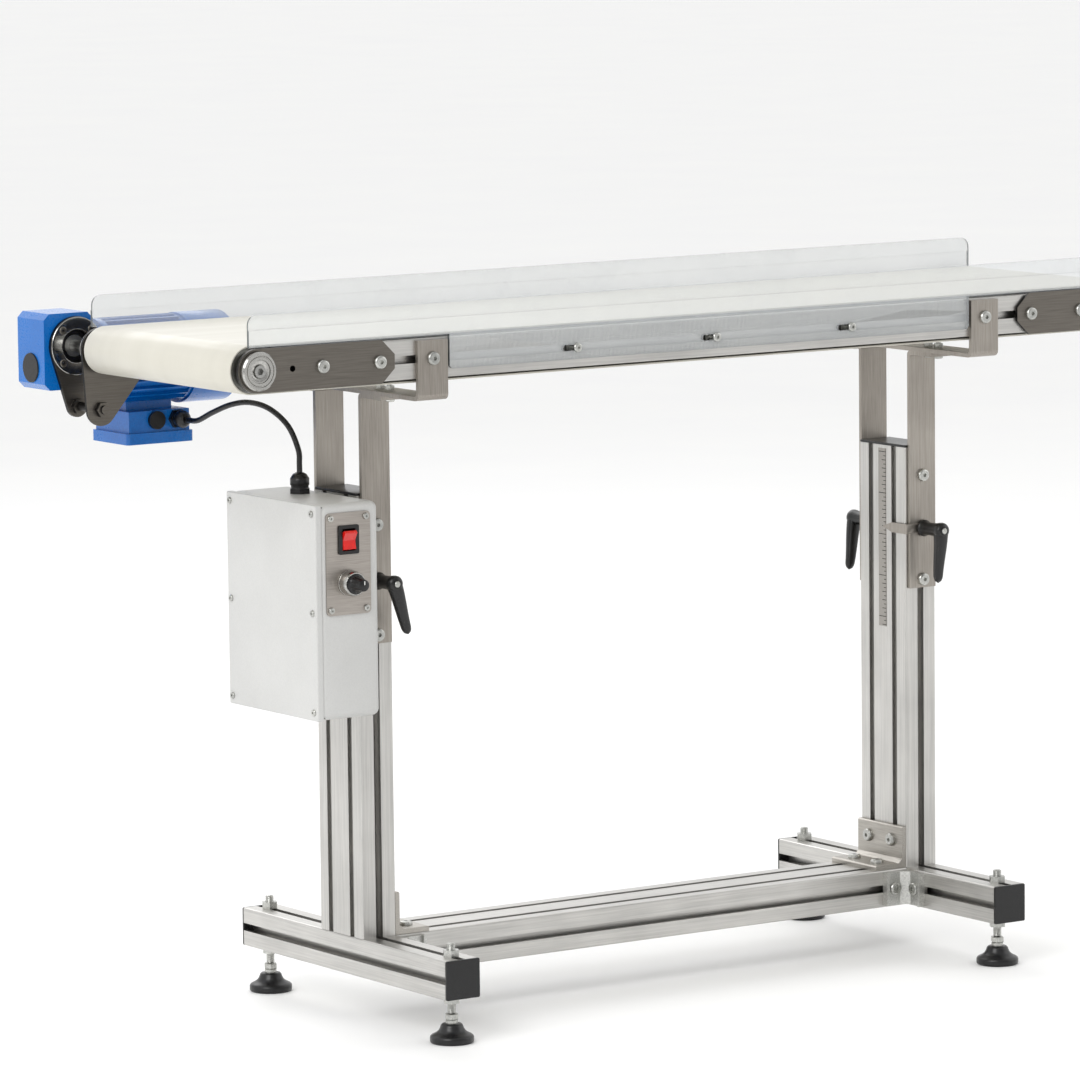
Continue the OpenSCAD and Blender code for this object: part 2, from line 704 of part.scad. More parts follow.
// Button-head screws with slot nuts: plates to rails, and strap tabs to rails;
// and the screws and nuts that hold the bars' flanges under the straps
module frame_screws() {
    color("gainsboro") place() {
        for (sx = legs, x = plate_bolt_x, s = [0, 1]) rotate([0, 0, 180 * s])
            translate([sx * (axis_x - x), -side_y, axis_z]) rotate([90, 0, 0]) slot_screw(plate_t, 3);
        for (sx = legs, s = [0, 1]) rotate([0, 0, 180 * s])
            translate([sx * leg_x, -side_y, axis_z]) rotate([90, 0, 0]) slot_screw(bar_t, 3);
        at_bars() for (b = flange_bolts) translate([0, -bar_y1 - b, strap_z0 - bar_t]) {
            rotate([180, 0, 0]) button_screw(6, 2 * bar_t + 6, 5.5, 3.4);
            translate([0, 0, 2 * bar_t]) hex_nut(10, 5, 3 + seat_gap);
        }
    }
}

// Clear guard sheet: thicker below than above, and deeper between the straps
guard_over = 10;       // past the roller axis
guard_r = 12;
guard_z1 = belt_top + guard_rise;
guard_step = guard_z1 - 17.5;
guard_low = axis_z - 13;
guard_mid = axis_z + plate_r + 1.5;
guard_screw_x = [-194, 0, 194];
guard_hole = 16;       // length of an oblong hole beyond its own width
module guard_outline() {
    a = axis_x + guard_over;
    b = leg_x - strap_w / 2 - 3;
    polygon(concat([[-a, guard_mid], [-b, guard_mid], [-b, guard_low + 3], [-b + 3, guard_low],
        [b - 3, guard_low], [b, guard_low + 3], [b, guard_mid], [a, guard_mid]],
        arc(a - guard_r, guard_z1 - guard_r, guard_r, 0, 90, 8),
        arc(-a + guard_r, guard_z1 - guard_r, guard_r, 90, 180, 8)));
}
module guard(sy) {
    mirror([0, sy > 0 ? 1 : 0, 0]) difference() {
        across(-side_y - guard_t, -side_y) difference() {
            guard_outline();
            for (x = guard_screw_x) translate([x, axis_z]) {
                translate([-guard_hole, -3.3]) square([guard_hole, 6.6]);
                circle(r = 3.3);
                translate([-guard_hole, 0]) circle(r = 3.3);
            }
        }
        translate([-axis_x - 50, -side_y - guard_t - 1, guard_step])
            cube([roller_spacing + 100, guard_t - guard_top_t + 1, 60]);
    }
}
module guard_front() { color("#dfe6ea", 0.4) place() guard(-1); }
module guard_back() { color("#dfe6ea", 0.4) place() guard(1); }
module guard_screws() {
    color("gainsboro") place() for (x = guard_screw_x, s = legs) translate([x, s * side_y, axis_z])
        rotate([-90 * s, 0, 0]) {
            translate([0, 0, guard_t]) button_screw(6, guard_t + 7.4, 5.5, 3.4);
            slot_nut(3 + seat_gap, 3);
        }
}

// U-shaped straps under the conveyor, one at each leg
module support_straps() {
    color("#6f6b65") place() for (sx = legs) translate([sx * leg_x, 0, 0]) difference() {
        along(-strap_w / 2, strap_w / 2) polygon(concat(
            [[-side_y - bar_t, tab_top], [-side_y, tab_top], [-side_y, strap_z1 + 2], [-side_y + 2, strap_z1],
            [side_y - 2, strap_z1], [side_y, strap_z1 + 2], [side_y, tab_top], [side_y + bar_t, tab_top]],
            arc(side_y + bar_t - 7, strap_z0 + 7, 7, 0, -90, 4),
            arc(-side_y - bar_t + 7, strap_z0 + 7, 7, -90, -180, 4)));
        translate([0, 0, axis_z]) bar_along_y(4 + seat_gap, -side_y - bar_t - 1, side_y + bar_t + 1);
        for (s = legs, b = flange_bolts) translate([0, s * (bar_y1 + b), strap_z0 - 1])
            cylinder(h = bar_t + 2, r = 3 + seat_gap);
    }
}

// Lifting bar: a flat bar against the post's narrow face, with its top turned outwards
module lift_bar() {
    difference() {
        along(-bar_w / 2, bar_w / 2) polygon(concat(
            [[-bar_y0, bar_bottom], [-bar_y0, bar_top - 5]], arc(-bar_y0 - 5, bar_top - 5, 5, 0, 90, 4),
            [[-bar_y1 - flange_len, bar_top], [-bar_y1 - flange_len, bar_top - bar_t],
            [-bar_y1 - 1, bar_top - bar_t], [-bar_y1, bar_top - bar_t - 1], [-bar_y1, bar_bottom]]));
        for (z = [guide_low, guide_high, lever_z]) translate([0, 0, z])
            bar_along_y(4 + seat_gap, -bar_y1 - 1, -bar_y0 + 1);
        for (b = flange_bolts) translate([0, -bar_y1 - b, bar_top - bar_t - 1])
            cylinder(h = bar_t + 2, r = 3 + seat_gap);
    }
}
module lift_bars_left() { color("#8f8a83") place() at_bars([-1]) lift_bar(); }
module lift_bars_right() { color("#8f8a83") place() at_bars([1]) lift_bar(); }

// Guide screws and the levers' studs, with the nuts that slide in the posts' slots
module guide_bolts() {
    color("gainsboro") place() at_bars() {
        for (z = [guide_low, guide_high]) translate([0, -post_y, z]) rotate([90, 0, 0])
            translate([0, 0, slide_gap]) {
                translate([0, 0, bar_t]) button_screw(8, bar_t + slot_lip + 5, head_r, 4.4);
                slot_nut(4 + seat_gap, slot_lip + slide_gap);
            }
        translate([0, 0, lever_z]) bar_along_y(4, -bar_y1 - 30, -post_y + slot_lip + 5);
        translate([0, -post_y, lever_z]) rotate([90, 0, 0]) slot_nut(4 + seat_gap, slot_lip);
    }
    color("gainsboro") place() for (p = [[-1, 0], [-1, 180], [1, 180]])
        translate([p[0] * leg_x, 0, lever_z]) rotate([0, 0, p[1]]) difference() {
            bar_along_y(lever_r, -bar_y1 - pointer_t, -bar_y1);
            bar_along_y(4 + seat_gap, -bar_y1 - pointer_t - 1, -bar_y1 + 1);
        }
}

// Clamping lever: conical hub on its stud and a tapered arm that leans outwards
module clamp_lever(side, turn, back) {
    color("#1d1b1c") place() translate([side * leg_x, 0, lever_z]) rotate([0, 0, back ? 180 : 0])
        rotate([0, turn, 0]) difference() {
            union() {
                bar_along_y(lever_r, -bar_y1 - lever_len, -bar_y1 - pointer_t - belt_gap);
                translate([0, -bar_y1 - lever_len + 7, 0]) hull() {
                    bar_along_y(lever_r - 0.5, -6, 6, $fn = 32);
                    translate([0, -4, -arm_len]) bar_along_y(5, -4, 4, $fn = 32);
                }
            }
            bar_along_y(4 + run_gap, -bar_y1 - 31, -bar_y1);
        }
}
module lever_left_front() { clamp_lever(-1, -20, false); }
module lever_left_back() { clamp_lever(-1, 15, true); }
module lever_right_front() { clamp_lever(1, 0, false); }
module lever_right_back() { clamp_lever(1, -12, true); }

// Bent pointer: clamped under the right front lever, its tip lies over the height scale
module height_pointer() {
    x0 = -profile / 2 - scale_t - pointer_gap - pointer_t;
    color("#a8967f") place() translate([leg_x, 0, lever_z]) {
        difference() {
            translate([x0, -bar_y1 - pointer_t, -6]) cube([-x0 + 9, pointer_t, 12]);
            bar_along_y(4 + seat_gap, -bar_y1 - pointer_t - 1, -bar_y1 + 1);
        }
        along(x0, x0 + pointer_t) polygon([[-bar_y1, -6], [-22, -6], [-5, -0.5], [-5, 0.5], [-22, 6], [-bar_y1, 6]]);
    }
}

// ---------- drive ----------

// Cast gear housing round the wheel and the worm
module gearbox_housing() {
    c = 7;
    color("#1f5fae") place() translate([-axis_x, 0, axis_z]) difference() {
        union() {
            across(gear_y0, gear_y1) polygon([[-gear_half, -gear_down + c], [-gear_half + c, -gear_down],
                [gear_half - c, -gear_down], [gear_half, -gear_down + c], [gear_half, 14],
                [gear_half - 22, gear_up], [-gear_half + c, gear_up], [-gear_half, gear_up - c]]);
            translate([0, gear_y, -worm_drop]) bar_along_x(25, gear_half - 12, gear_half);
        }
        bar_along_y(27, gear_y0 + 10, gear_y1 - 10);
        bar_along_y(quill_r + run_gap, gear_y0 - 1, gear_y1 + 1);
        for (s = [gear_y0 - 1, gear_y1 - 2]) bar_along_y(20, s, s + 3);
        translate([0, gear_y, -worm_drop]) bar_along_x(11, -gear_half + 6, gear_half + 1);
        translate([0, gear_y, -worm_drop]) bar_along_x(17, -gear_half - 1, -gear_half + 3);
    }
}

// Oil seals at both ends of the output, and the cover over the worm's blind end
module gearbox_covers() {
    color("#2b2c2e") place() translate([-axis_x, 0, axis_z]) {
        for (y = [gear_y0, gear_y1 - 2]) difference() {
            bar_along_y(20 - seat_gap, y, y + 2);
            bar_along_y(quill_r + run_gap, y - 1, y + 3);
        }
        translate([0, gear_y, -worm_drop]) bar_along_x(17 - seat_gap, -gear_half - 2, -gear_half + 3);
    }
}

// Teardrop torque arm on the gear unit, tied to the back plate's lobe by a rod with nuts
module torque_arm() {
    t = asin((arm_ring_r - 13) / -lobe_z);
    color("#8d8880") place() translate([-axis_x, 0, axis_z]) {
        difference() {
            across(arm_y0, gear_y0) polygon(concat(arc(0, 0, arm_ring_r, -t, 180 + t, 24),
                arc(0, lobe_z, 13, 180 + t, 360 - t, 10)));
            bar_along_y(19, arm_y0 - 1, gear_y0 + 1);
            translate([0, 0, lobe_z]) bar_along_y(5 + seat_gap, arm_y0 - 1, gear_y0 + 1);
        }
        for (a = [45:90:315]) rotate([0, a, 0]) translate([26.5, arm_y0, 0]) rotate([90, 0, 0])
            button_screw(6, 0.1, 5, 3);
        translate([0, 0, lobe_z]) {
            bar_along_y(5, side_y - 9, gear_y0 - 0.2);
            for (y = [side_y, arm_y0]) translate([0, y, 0]) rotate([90, 0, 0]) hex_nut(16, 6, 5 + seat_gap);
            translate([0, plate_y + 6, 0]) rotate([90, 0, 0]) hex_nut(16, 6, 5 + seat_gap);
        }
    }
}

// Finned motor casing with its flange and rear shield, and the stator inside it
module motor_housing() {
    color("#2468b8") place() translate([0, gear_y, motor_z]) {
        difference() {
            union() {
                bar_along_x(motor_r, motor_x0, motor_x0 + flange_t);
                bar_along_x(motor_r - 5, motor_x0 + flange_t, cowl_x);
                bar_along_x(motor_r - 1.8, cowl_x - 4, cowl_x + 4);
                for (a = [-60:12:240]) rotate([a, 0, 0])
                    translate([motor_x0 + flange_t, motor_r - 7, -1]) cube([cowl_x - motor_x0 - flange_t - 4, 6.8, 2]);
            }
            bar_along_x(motor_r - 10, motor_x0 + flange_t, cowl_x);
            bar_along_x(7 + run_gap, motor_x0 - 1, cowl_x + 5);
        }
        difference() {
            bar_along_x(motor_r - 10 - seat_gap, motor_x0 + 20, cowl_x - 12);
            bar_along_x(31, motor_x0 + 19, cowl_x - 11);
        }
    }
}

// Fan cowl with a ring of slots in its end
module fan_cowl() {
    color("#2468b8") place() translate([0, gear_y, motor_z]) difference() {
        bar_along_x(cowl_r, cowl_x, motor_x1);
        bar_along_x(motor_r - 1.6, cowl_x - 1, motor_x1 - 2);
        for (a = [0:20:340]) rotate([a, 0, 0]) translate([motor_x1 - 3, 18, -2]) cube([4, 30, 4]);
    }
}

// Connection box under the motor, with the neck that the wires pass and its screwed-on lid
module terminal_box() {
    color("#1c63c0") place() {
        difference() {
            translate([term_x0, term_y, term_z0 + term_lid]) cube([term_x1 - term_x0, 2 * term_half, term_z1 - term_z0 - term_lid]);
            translate([term_x0 + 3, term_y + 3, term_z0 + term_lid - 1])
                cube([term_x1 - term_x0 - 6, 2 * term_half - 6, 20]);
            translate([(term_x0 + term_x1) / 2, gear_y, term_z0]) cylinder(h = motor_z - term_z0, r = 12);
            translate([0, gear_y, motor_z]) bar_along_x(motor_r + 0.2, motor_x0 - 1, motor_x1 + 1);
            for (x = [plug_x, tgland_x]) translate([x, 0, fitting_z]) bar_along_y(8 + seat_gap, term_y - 1, term_y + 6);
        }
        difference() {
            translate([term_x0 + 6, gear_y - term_neck, term_z1 - 3])
                cube([term_x1 - term_x0 - 20, 2 * term_neck, motor_z - term_z1]);
            translate([0, gear_y, motor_z]) bar_along_x(motor_r - 4.8, motor_x0 - 1, motor_x1 + 1);
            translate([(term_x0 + term_x1) / 2, gear_y, term_z0]) cylinder(h = motor_z - term_z0, r = 12);
        }
        translate([(term_x0 + term_x1) / 2, term_y + term_half, term_z0])
            linear_extrude(term_lid) polygon(round_rect(term_x1 - term_x0 + 8, 2 * term_half + 6, 4));
    }
}

// Blanking plug and the motor cable's gland on the connection box
module terminal_fittings() {
    color("#141415") place() {
        translate([plug_x, 0, fitting_z]) {
            bar_along_y(10.5, term_y - 5, term_y);
            bar_along_y(8, term_y, term_y + 5);
        }
        translate([tgland_x, term_y, fitting_z]) rotate([90, 0, 0]) gland(20, tgland_len, cable_d / 2 + seat_gap);
        translate([tgland_x, 0, fitting_z]) difference() {
            bar_along_y(8, term_y, term_y + 5);
            bar_along_y(cable_d / 2 + seat_gap, term_y - 1, term_y + 6);
        }
    }
}

// Roller: a crowned shell is approximated by a plain one; its shaft runs in the two hubs
module roller(y_back) {
    difference() {
        union() {
            bar_along_y(roller_r, -belt_w / 2, belt_w / 2);
            bar_along_y(shaft_r, -plate_y - hub_out, y_back);
        }
        for (s = [0, 1]) rotate([0, 0, 180 * s]) difference() {
            bar_along_y(roller_r - 3, -belt_w / 2 - 1, -belt_w / 2 + 4);
            bar_along_y(shaft_r + 1, -belt_w / 2 - 1, -belt_w / 2 + 4);
        }
        translate([0, -plate_y - hub_out + 5, 0]) rotate([90, 0, 0]) cylinder(h = 6, r = 4, $fn = 6);
    }
}
module drive_roller() { color("#b7b9bb") place() translate([-axis_x, 0, axis_z]) roller(gear_y1 - 1); }
module tail_roller() { color("#b7b9bb") place() translate([axis_x, 0, axis_z]) roller(plate_y + hub_out); }

// Wheel with sine-shaped teeth on its hollow output shaft
module worm_wheel() {
    color("#b08d3c") place() translate([-axis_x, 0, axis_z]) difference() {
        union() {
            across(gear_y - 5, gear_y + 5) polygon([for (i = [0:8 * wheel_teeth - 1])
                let (a = i * 360 / (8 * wheel_teeth), r = wheel_r + tooth_a * cos(wheel_teeth * (a + 90)))
                    [r * cos(a), r * sin(a)]]);
            bar_along_y(quill_r, gear_y0, gear_y1);
        }
        bar_along_y(shaft_r + run_gap, gear_y0 - 1, gear_y1 + 1);
    }
}

// Motor shaft, rotor core and single-start worm
worm_turns = 4;
module motor_rotor() {
    worm_half = worm_turns * worm_lead / 2;
    color("#8f9193") place() translate([0, gear_y, motor_z]) {
        translate([-axis_x, 0, 0]) rotate([0, 90, 0]) translate([0, 0, -worm_half])
            linear_extrude(height = 2 * worm_half, twist = -360 * worm_turns, slices = 12 * worm_turns)
                translate([tooth_a, 0]) circle(r = worm_r, $fn = 16);
        bar_along_x(5, -axis_x - gear_half + 8, -axis_x - worm_half);
        bar_along_x(5, -axis_x + worm_half, -axis_x + gear_half - 4);
        bar_along_x(7, -axis_x + gear_half - 4, motor_x1 - 20);
        difference() {
            bar_along_x(30, motor_x0 + 22, cowl_x - 14);
            bar_along_x(7 + seat_gap, motor_x0 + 21, cowl_x - 13);
        }
    }
}

// Radial fan on the motor's rear shaft end
fan_x0 = 12;
module cooling_fan() {
    color("#303234") place() translate([cowl_x, gear_y, motor_z]) difference() {
        union() {
            bar_along_x(13, fan_x0, fan_x0 + 22);
            bar_along_x(46, fan_x0, fan_x0 + 2);
            for (a = [0:45:315]) rotate([a, 0, 0]) translate([fan_x0, 8, -1]) cube([20, 40, 2]);
        }
        bar_along_x(7 + seat_gap, fan_x0 - 1, fan_x0 + 23);
    }
}

// ---------- motor cable ----------

// Smooth curve through points p: n steps on each stretch
function smooth(p, n) = concat([for (i = [0:len(p) - 2], k = [0:n - 1])
    let (a = p[max(i - 1, 0)], b = p[i], c = p[i + 1], d = p[min(i + 2, len(p) - 1)], t = k / n)
        0.5 * (2 * b + (c - a) * t + (2 * a - 5 * b + 4 * c - d) * t * t
            + (3 * b - a - 3 * c + d) * t * t * t)], [p[len(p) - 1]]);
function unit(v) = v / norm(v);

module motor_cable() {
    sides = 10;
    path = smooth(cable_route, 4);
    last = len(path) - 1;
    rings = [for (i = [0:last])
        let (t = i == 0 ? [0, -1, 0] : i == last ? [0, 0, -1] : unit(path[i + 1] - path[i - 1]),
            u = unit([1, 0, 0] - t[0] * t), v = cross(t, u))
            for (k = [0:sides - 1]) path[i] + cable_d / 2 * (cos(360 * k / sides) * u + sin(360 * k / sides) * v)];
    walls = [for (i = [0:last - 1], k = [0:sides - 1]) let (m = (k + 1) % sides)
        [i * sides + k, (i + 1) * sides + k, (i + 1) * sides + m, i * sides + m]];
    color("#101011") place() polyhedron(points = rings, faces = concat(walls,
        [[for (k = [0:sides - 1]) k]], [[for (k = [sides - 1:-1:0]) last * sides + k]]));
}

foot_rail_left();
foot_rail_right();
profile_caps();
post_left();
post_right();
base_beam();
post_brackets();
corner_brackets();
stand_fasteners();
height_scale();
box_shell();
box_lid();
box_fasteners();
control_plate();
switch_frame();
speed_control();
box_glands();
motor_drive();
foot_front_left();
foot_front_right();
foot_back_left();
foot_back_right();
switch_rocker();
speed_knob();
side_rail_front();
side_rail_back();
cross_ties();
slider_bed();
belt();
head_plate_front();
head_plate_back();
tail_plates();
frame_screws();
bearings();
guard_front();
guard_back();
guard_screws();
support_straps();
lift_bars_left();
lift_bars_right();
guide_bolts();
height_pointer();
gearbox_housing();
gearbox_covers();
torque_arm();
motor_housing();
fan_cowl();
terminal_box();
terminal_fittings();
drive_roller();
worm_wheel();
tail_roller();
motor_rotor();
cooling_fan();
lever_left_front();
lever_left_back();
lever_right_front();
lever_right_back();
motor_cable();
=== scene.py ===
import math
import bmesh
import bpy
import numpy as np
from mathutils import Matrix, Vector


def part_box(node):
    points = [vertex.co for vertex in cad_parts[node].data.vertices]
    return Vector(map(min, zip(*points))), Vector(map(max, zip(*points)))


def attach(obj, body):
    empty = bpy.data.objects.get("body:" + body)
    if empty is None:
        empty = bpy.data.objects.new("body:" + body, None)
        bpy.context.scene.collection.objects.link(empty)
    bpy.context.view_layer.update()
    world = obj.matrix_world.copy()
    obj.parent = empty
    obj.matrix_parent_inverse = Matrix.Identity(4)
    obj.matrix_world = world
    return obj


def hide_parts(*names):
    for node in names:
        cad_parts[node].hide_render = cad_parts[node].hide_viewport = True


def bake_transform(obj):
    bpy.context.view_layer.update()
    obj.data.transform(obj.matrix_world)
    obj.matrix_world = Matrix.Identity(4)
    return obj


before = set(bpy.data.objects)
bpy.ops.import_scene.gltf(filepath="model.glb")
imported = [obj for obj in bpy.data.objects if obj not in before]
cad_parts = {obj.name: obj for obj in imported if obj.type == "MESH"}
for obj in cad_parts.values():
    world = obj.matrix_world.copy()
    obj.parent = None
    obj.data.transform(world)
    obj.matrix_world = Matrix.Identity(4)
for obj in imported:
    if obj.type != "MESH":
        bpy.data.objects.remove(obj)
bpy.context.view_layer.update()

# Camera: a long lens at table height, looking down the belt from the driven end.
camera = bpy.data.objects.new("camera", bpy.data.cameras.new("camera"))
camera.data.sensor_width = 36.0
camera.data.lens = 219.6
camera.data.clip_end = 60.0
heading, drop, tilt = math.radians(34.147), math.radians(7.048), math.radians(-0.632)
level = np.array([math.cos(heading), -math.sin(heading), 0.0])
forward = np.array([math.sin(heading), math.cos(heading), 0.0])
look = forward * math.cos(drop) - np.array([0.0, 0.0, math.sin(drop)])
over = np.cross(level, look)
right = level * math.cos(tilt) + over * math.sin(tilt)
top = over * math.cos(tilt) - level * math.sin(tilt)
camera_spot = np.array([-4.3940, -6.3404, 1.4720])
sides = np.stack([right, top, -look, camera_spot], -1)
camera.matrix_world = Matrix(np.vstack([sides, [0, 0, 0, 1]]).tolist())
bpy.context.scene.collection.objects.link(camera)
bpy.context.scene.camera = camera


# Motor cable: a round PVC-jacketed control cable, 6.5 mm thick, that leaves the motor's
# connection box, arches up beside the belt's edge and drops into the control box's gland.
# The jacket is extruded, so it is smooth with a faint satin sheen.
def rounded_line(points, steps):
    """Points of a curve through the given ones: on each stretch the cubic whose slope at an
    inner point is half the step between its two neighbours."""
    p = np.vstack([points[:1], points, points[-1:]])
    t = np.linspace(0, 1, steps, endpoint=False)[:, None]
    a, b, c, d = p[:-3, None], p[1:-2, None], p[2:-1, None], p[3:, None]
    bend = (2 * a - 5 * b + 4 * c - d) * t ** 2 + (3 * b - a - 3 * c + d) * t ** 3
    curve = 0.5 * (2 * b + (c - a) * t + bend)
    return np.vstack([curve.reshape(-1, 3), p[-1:]])


def skin(name, rows, closed_rows=True, capped=True):
    """A mesh over a grid of points, rows x columns x 3, one face to a cell. closed_rows joins the
    end of every row to its start, and capped fills the first and last rows with a face each."""
    rows = np.asarray(rows, float)
    count, width = rows.shape[:2]
    cells = width if closed_rows else width - 1
    i, j = np.meshgrid(np.arange(count - 1), np.arange(cells), indexing="ij")
    k = (j + 1) % width
    corners = [i * width + j, i * width + k, (i + 1) * width + k, (i + 1) * width + j]
    faces = np.stack(corners, -1).reshape(-1, 4).tolist()
    if capped:
        faces += [list(range(width - 1, -1, -1)), list(range((count - 1) * width, count * width))]
    mesh = bpy.data.meshes.new(name)
    mesh.from_pydata(rows.reshape(-1, 3).tolist(), [], faces)
    mesh.update()
    piece = bpy.data.objects.new(name, mesh)
    bpy.context.scene.collection.objects.link(piece)
    return piece


def settle(piece, crease=35):
    """Merges doubles, turns every face outwards, and shades smooth up to the crease angle."""
    work = bmesh.new()
    work.from_mesh(piece.data)
    bmesh.ops.remove_doubles(work, verts=work.verts, dist=2e-6)
    bmesh.ops.dissolve_degenerate(work, edges=work.edges, dist=1e-7)
    bmesh.ops.recalc_face_normals(work, faces=work.faces)
    work.to_mesh(piece.data)
    work.free()
    piece.data.polygons.foreach_set("use_smooth", [True] * len(piece.data.polygons))
    piece.data.set_sharp_from_angle(angle=math.radians(crease))
    return piece


def carried(name, path, across, outline):
    """A section carried along a path: at each point the outline's first number runs along the
    part of `across` that is square to the path, and its second along the third direction."""
    path = np.asarray(path, float)
    ahead = np.gradient(path, axis=0)
    ahead /= np.linalg.norm(ahead, axis=1)[:, None]
    side = np.asarray(across, float) - ahead * (ahead @ np.asarray(across, float))[:, None]
    side /= np.linalg.norm(side, axis=1)[:, None]
    third = np.cross(ahead, side)
    u, v = outline[..., 0], outline[..., 1]
    return skin(name, path[:, None] + u[..., None] * side[:, None] + v[..., None] * third[:, None])


def linear(code):
    """Linear colour, with alpha 1, of an sRGB hex code."""
    part = np.array([int(code[i:i + 2], 16) for i in (1, 3, 5)]) / 255
    return (*np.where(part <= 0.04045, part / 12.92, ((part + 0.055) / 1.055) ** 2.4), 1.0)


def add(tree, kind, settings=(), **inputs):
    """Adds one shader node with its settings. Each input is a value or another node's socket;
    its name has _ for a space, or is i and the socket's number."""
    node = tree.nodes.new("ShaderNode" + kind)
    for name, value in dict(settings).items():
        setattr(node, name, value)
    for name, value in inputs.items():
        socket = node.inputs[int(name[1:]) if name[1:].isdigit() else name.replace("_", " ")]
        if isinstance(value, bpy.types.NodeSocket):
            tree.links.new(value, socket)
        else:
            socket.default_value = value
    return node


def worked(tree, operation, first, second=0.0):
    """One sum or test on two values or sockets. A test gives 1 where it holds and 0 elsewhere."""
    return add(tree, "Math", {"operation": operation}, i0=first, i1=second).outputs[0]


def between(tree, share, start, end):
    """A colour from start to end, each a hex code or a socket, as the share goes from 0 to 1."""
    ends = [linear(colour) if isinstance(colour, str) else colour for colour in (start, end)]
    return add(tree, "Mix", {"data_type": "RGBA"}, i0=share, i6=ends[0], i7=ends[1]).outputs[2]


def noise(tree, place, scale, detail, roughness=0.5):
    """Fractal noise over the object, about `scale` lumps to a metre."""
    node = add(tree, "TexNoise", Vector=place, Scale=scale, Detail=detail, Roughness=roughness)
    return node.outputs["Fac"]


def ranged(tree, value, **ends):
    """The value carried from From_Min and From_Max to To_Min and To_Max, 0 and 1 if not given."""
    return add(tree, "MapRange", Value=value, **ends).outputs[0]


def faces_y(tree, least):
    """1 where the surface faces along Y, by the size of its normal's Y part, and 0 on cut edges."""
    normal = add(tree, "TexCoord").outputs["Normal"]
    return worked(tree, "GREATER_THAN", worked(tree, "ABSOLUTE", along_axis(tree, normal, "Y")), least)


def along_axis(tree, vector, axis):
    """One of a vector's three parts."""
    return add(tree, "SeparateXYZ", Vector=vector).outputs[axis]


def finish_of(name, **sockets):
    """A new material with its shader's own sockets set, and where on the object each point is."""
    made = bpy.data.materials.new(name)
    made.use_nodes = True
    tree = made.node_tree
    shader = tree.nodes["Principled BSDF"]
    for socket, value in sockets.items():
        shader.inputs[socket.replace("_", " ")].default_value = value
    return made, tree, shader, add(tree, "TexCoord").outputs["Object"]


def grained(name, dark, light, grain_mm, rough, metallic=0.0, bump_mm=0.0, stretch=(1, 1, 1),
            wear=0.0, **sockets):
    """A finish whose colour and roughness wander between two values with the grain, and whose
    surface rises and falls with it. stretch lengthens the grain along X, Y and Z. wear adds
    large, soft patches as handling and cleaning leave them."""
    made, tree, shader, place = finish_of(name, Metallic=metallic, **sockets)
    scaled = add(tree, "Mapping", Vector=place, Scale=tuple(1 / s for s in stretch)).outputs[0]
    grain = noise(tree, scaled, 1000 / grain_mm, 4.0, 0.6)
    patch = noise(tree, place, 9.0, 3.0, 0.55)
    spread = ranged(tree, grain, From_Min=0.3, From_Max=0.7)
    soft = ranged(tree, patch, From_Min=0.35, From_Max=0.65)
    tone = add(tree, "Mix", {"data_type": "FLOAT"}, i0=wear, i2=spread, i3=soft).outputs[0]
    colour = between(tree, tone, linear(dark), linear(light))
    tree.links.new(colour, shader.inputs["Base Color"])
    gloss = ranged(tree, tone, To_Min=rough[1], To_Max=rough[0])
    tree.links.new(gloss, shader.inputs["Roughness"])
    if bump_mm:
        relief = add(tree, "Bump", Height=grain, Distance=bump_mm / 1000, Strength=0.6).outputs[0]
        tree.links.new(relief, shader.inputs["Normal"])
    return made


# The route is in millimetres from the point on the floor below the middle of the base beam.
beam_middle = np.array([0.00735, -0.0454, 0.0])
cable_radius = 0.00325
cable_sides = 20
cable_route = np.array([
    [-490, 200, 680.7], [-490, 190, 680.7], [-489, 172, 682], [-485, 146, 693], [-478, 116, 704],
    [-470, 88, 708], [-461, 60, 702], [-452, 36, 684], [-447, 23, 658], [-447, 21, 642],
    [-447, 21, 628]]) / 1000 + beam_middle
cable_line = rounded_line(cable_route, 6)
turn = np.linspace(0, 2 * np.pi, cable_sides, endpoint=False)
cable_ring = cable_radius * np.stack([np.cos(turn), np.sin(turn)], -1)
cable_rings = np.broadcast_to(cable_ring, (len(cable_line), cable_sides, 2))
motor_cable = settle(carried("motor_cable_jacket", cable_line, (1, 0, 0), cable_rings), 60)
motor_cable.data.materials.append(
    grained("extruded black PVC jacket", "#060607", "#101012", 2.5, (0.24, 0.36), bump_mm=0.05))
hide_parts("motor_cable")
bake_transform(motor_cable)


# Levelling feet: a domed glass-filled nylon pad with a ribbed edge, moulded round the hex
# collar of a zinc-plated M10 stud. The stud's thread is rolled, 1.5 mm from crest to crest.
def turned(name, profile, segments=48, spot=(0, 0, 0), flute=None, capped=True):
    """A surface of revolution about Z through `spot`: radius and height follow the profile, and
    flute(angle, height) scales the radius. A tube's profile closes on itself and has no caps."""
    profile = np.asarray(profile, float) / 1000
    angle = np.linspace(0, 2 * np.pi, segments, endpoint=False)
    radius = np.maximum(profile[:, :1], 1e-6) * (1 if flute is None else flute(angle[None], profile[:, 1:]))
    radius = radius * np.ones_like(angle)
    rows = np.stack([radius * np.cos(angle), radius * np.sin(angle), profile[:, 1:] + 0 * angle], -1)
    return settle(skin(name, rows + np.asarray(spot), capped=capped))


